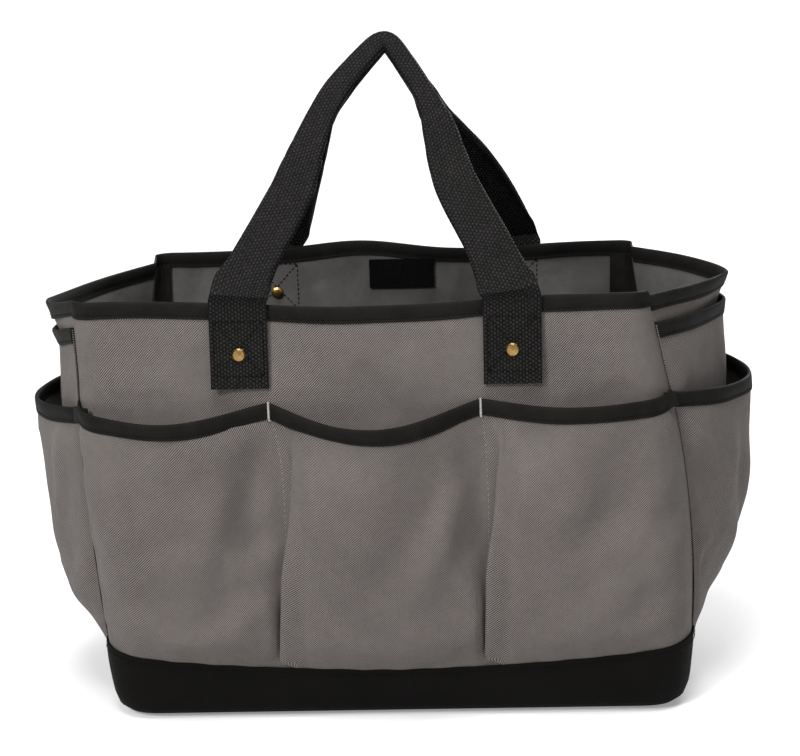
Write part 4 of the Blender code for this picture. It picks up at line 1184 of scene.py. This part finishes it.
def make_box_stitches(wall, side, x):
    """Sewn box with a cross, through the strap and the wall, seen on both sides."""
    low, high = BOX_HEIGHTS
    corners = ((-BOX_HALF, low), (BOX_HALF, low), (BOX_HALF, high), (-BOX_HALF, high))
    runs = [(corners[k], corners[(k + 1) % 4]) for k in range(4)]
    runs += [(corners[0], corners[2]), (corners[1], corners[3])]
    for k, ((a0, z0), (a1, z1)) in enumerate(runs):
        share = np.linspace(0.0, 1.0, 24)
        z = mix(z0, z1, share)
        u = u_at_x(wall, x + mix(a0, a1, share), z)
        outs = three(outward(wall, u, z))
        relief = wall_relief(wall, u, z)
        outer = layer(wall, u, z, STRAP_OFFSET + WEBBING / 2 + 0.0001)
        inner = layer(wall, u, z, relief - CLOTH / 2)
        name = f"{wall}_{side}_box"
        own(stitches(f"{name}_outer_{k}", outer, outs, DARK_THREAD), "webbing")
        own(stitches(f"{name}_inner_{k}", inner, -outs, DARK_THREAD, radius=0.0004), "wall_cloth")


def finish_rivets():
    for wall in ("front", "back"):
        for side in ("left", "right"):
            rivet = frame["nodes"][f"{wall}_{side}_handle_rivet"]
            rivet.data.materials.clear()
            rivet.data.materials.append(BRASS)


def make_patch(wall, node, material):
    """Sewn rectangle of hook or loop tape inside the mouth."""
    low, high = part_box(node)
    x0, x1, z0, z1 = low[0], high[0], low[2], high[2]
    x, z = np.meshgrid(np.linspace(x0, x1, 40), np.linspace(z0, z1, 18))
    if wall == "back":
        x = x[:, ::-1]
    u = u_at_x(wall, x, z)
    edge = np.minimum(np.minimum(x - x0, x1 - x), np.minimum(z - z0, z1 - z))
    pile = 0.0004 * ripple(x, z, 0.0025, 60) * smooth(edge / 0.002)
    depth = wall_relief(wall, u, z) - CLOTH / 2 - 0.0011 - pile
    grid = layer(wall, u, z, depth)
    piece = own(cloth(node + "_pile", grid, [material], 0.0016), "hook_and_loop", node)


# Surroundings ------------------------------------------------------------------------------
def make_floor():
    mesh = bpy.data.meshes.new("studio_floor")
    turn, steps = BACKDROP - FLOOR_CURVE, 12
    profile = [(-FLOOR_SIZE, 0.0), (turn, 0.0)]
    for k in range(1, steps + 1):
        angle = pi / 2 * k / steps
        profile.append((turn + FLOOR_CURVE * sin(angle), FLOOR_CURVE * (1.0 - cos(angle))))
    profile.append((BACKDROP, BACKDROP_TOP))
    vertices = [(x, y, z) for y, z in profile for x in (-FLOOR_SIZE, FLOOR_SIZE)]
    faces = [(2 * i, 2 * i + 1, 2 * i + 3, 2 * i + 2) for i in range(len(profile) - 1)]
    mesh.from_pydata(vertices, [], faces)
    mesh.materials.append(plain("studio_white", (0.58, 0.58, 0.58), 0.9, 0.26))
    mesh.shade_smooth()
    floor = bpy.data.objects.new("studio_floor", mesh)
    bpy.context.collection.objects.link(floor)


def area_light(name, location, target, size, power):
    data = bpy.data.lights.new(name, "AREA")
    data.shape = "DISK"
    data.size = size
    data.energy = power
    light = bpy.data.objects.new(name, data)
    light.location = location
    light.rotation_euler = (Vector(target) - Vector(location)).to_track_quat("-Z", "Y").to_euler()
    bpy.context.collection.objects.link(light)


def make_light():
    world = bpy.data.worlds.new("studio")
    world.use_nodes = True
    background = world.node_tree.nodes["Background"].inputs
    background["Color"].default_value = (1.0, 1.0, 1.0, 1.0)
    background["Strength"].default_value = WORLD_LIGHT
    bpy.context.scene.world = world
    area_light("key", (-1.35, -1.80, 1.85), (0.0, 0.0, 0.15), size=0.8, power=72.0)
    area_light("front", (-0.10, -0.80, 2.30), (0.0, -0.10, 0.15), size=0.9, power=42.0)
    area_light("fill", (1.5, -1.8, 0.9), (0.0, 0.0, 0.15), size=1.2, power=6.0)
    area_light("top", (0.55, 0.3, 2.5), (0.0, 0.1, 0.0), size=1.8, power=20.0)
    area_light("back", (0.9, 1.7, 1.5), (0.0, 0.0, 0.15), size=1.2, power=34.0)


def make_camera():
    data = bpy.data.cameras.new("camera")
    data.sensor_width = 36.0
    data.lens = CAMERA_LENS
    pitch, yaw, roll = CAMERA_PITCH, CAMERA_YAW, CAMERA_ROLL
    forward = Vector((sin(yaw) * cos(pitch), cos(yaw) * cos(pitch), sin(pitch)))
    level = Vector((cos(yaw), -sin(yaw), 0.0))
    above = level.cross(forward)
    right = level * cos(roll) + above * sin(roll)
    top = above * cos(roll) - level * sin(roll)
    turn = Matrix((right, top, -forward)).transposed()
    camera = bpy.data.objects.new("camera", data)
    camera.matrix_world = Matrix.Translation(CAMERA_PLACE) @ turn.to_4x4()
    bpy.context.collection.objects.link(camera)
    bpy.context.scene.camera = camera


def main():
    make_camera()
    make_light()
    make_floor()
    make_boot()
    make_board()
    make_walls()
    make_seam_tapes()
    for wall in ("front", "back"):
        make_pouches(wall)
        make_handle(wall)
    for wall in ("right_end", "left_end"):
        make_end_pockets(wall)
    finish_rivets()
    make_patch("back", "hook_patch", HOOK)
    make_patch("front", "loop_patch", LOOP)
    bpy.context.scene.view_settings.view_transform = "Standard"


main()
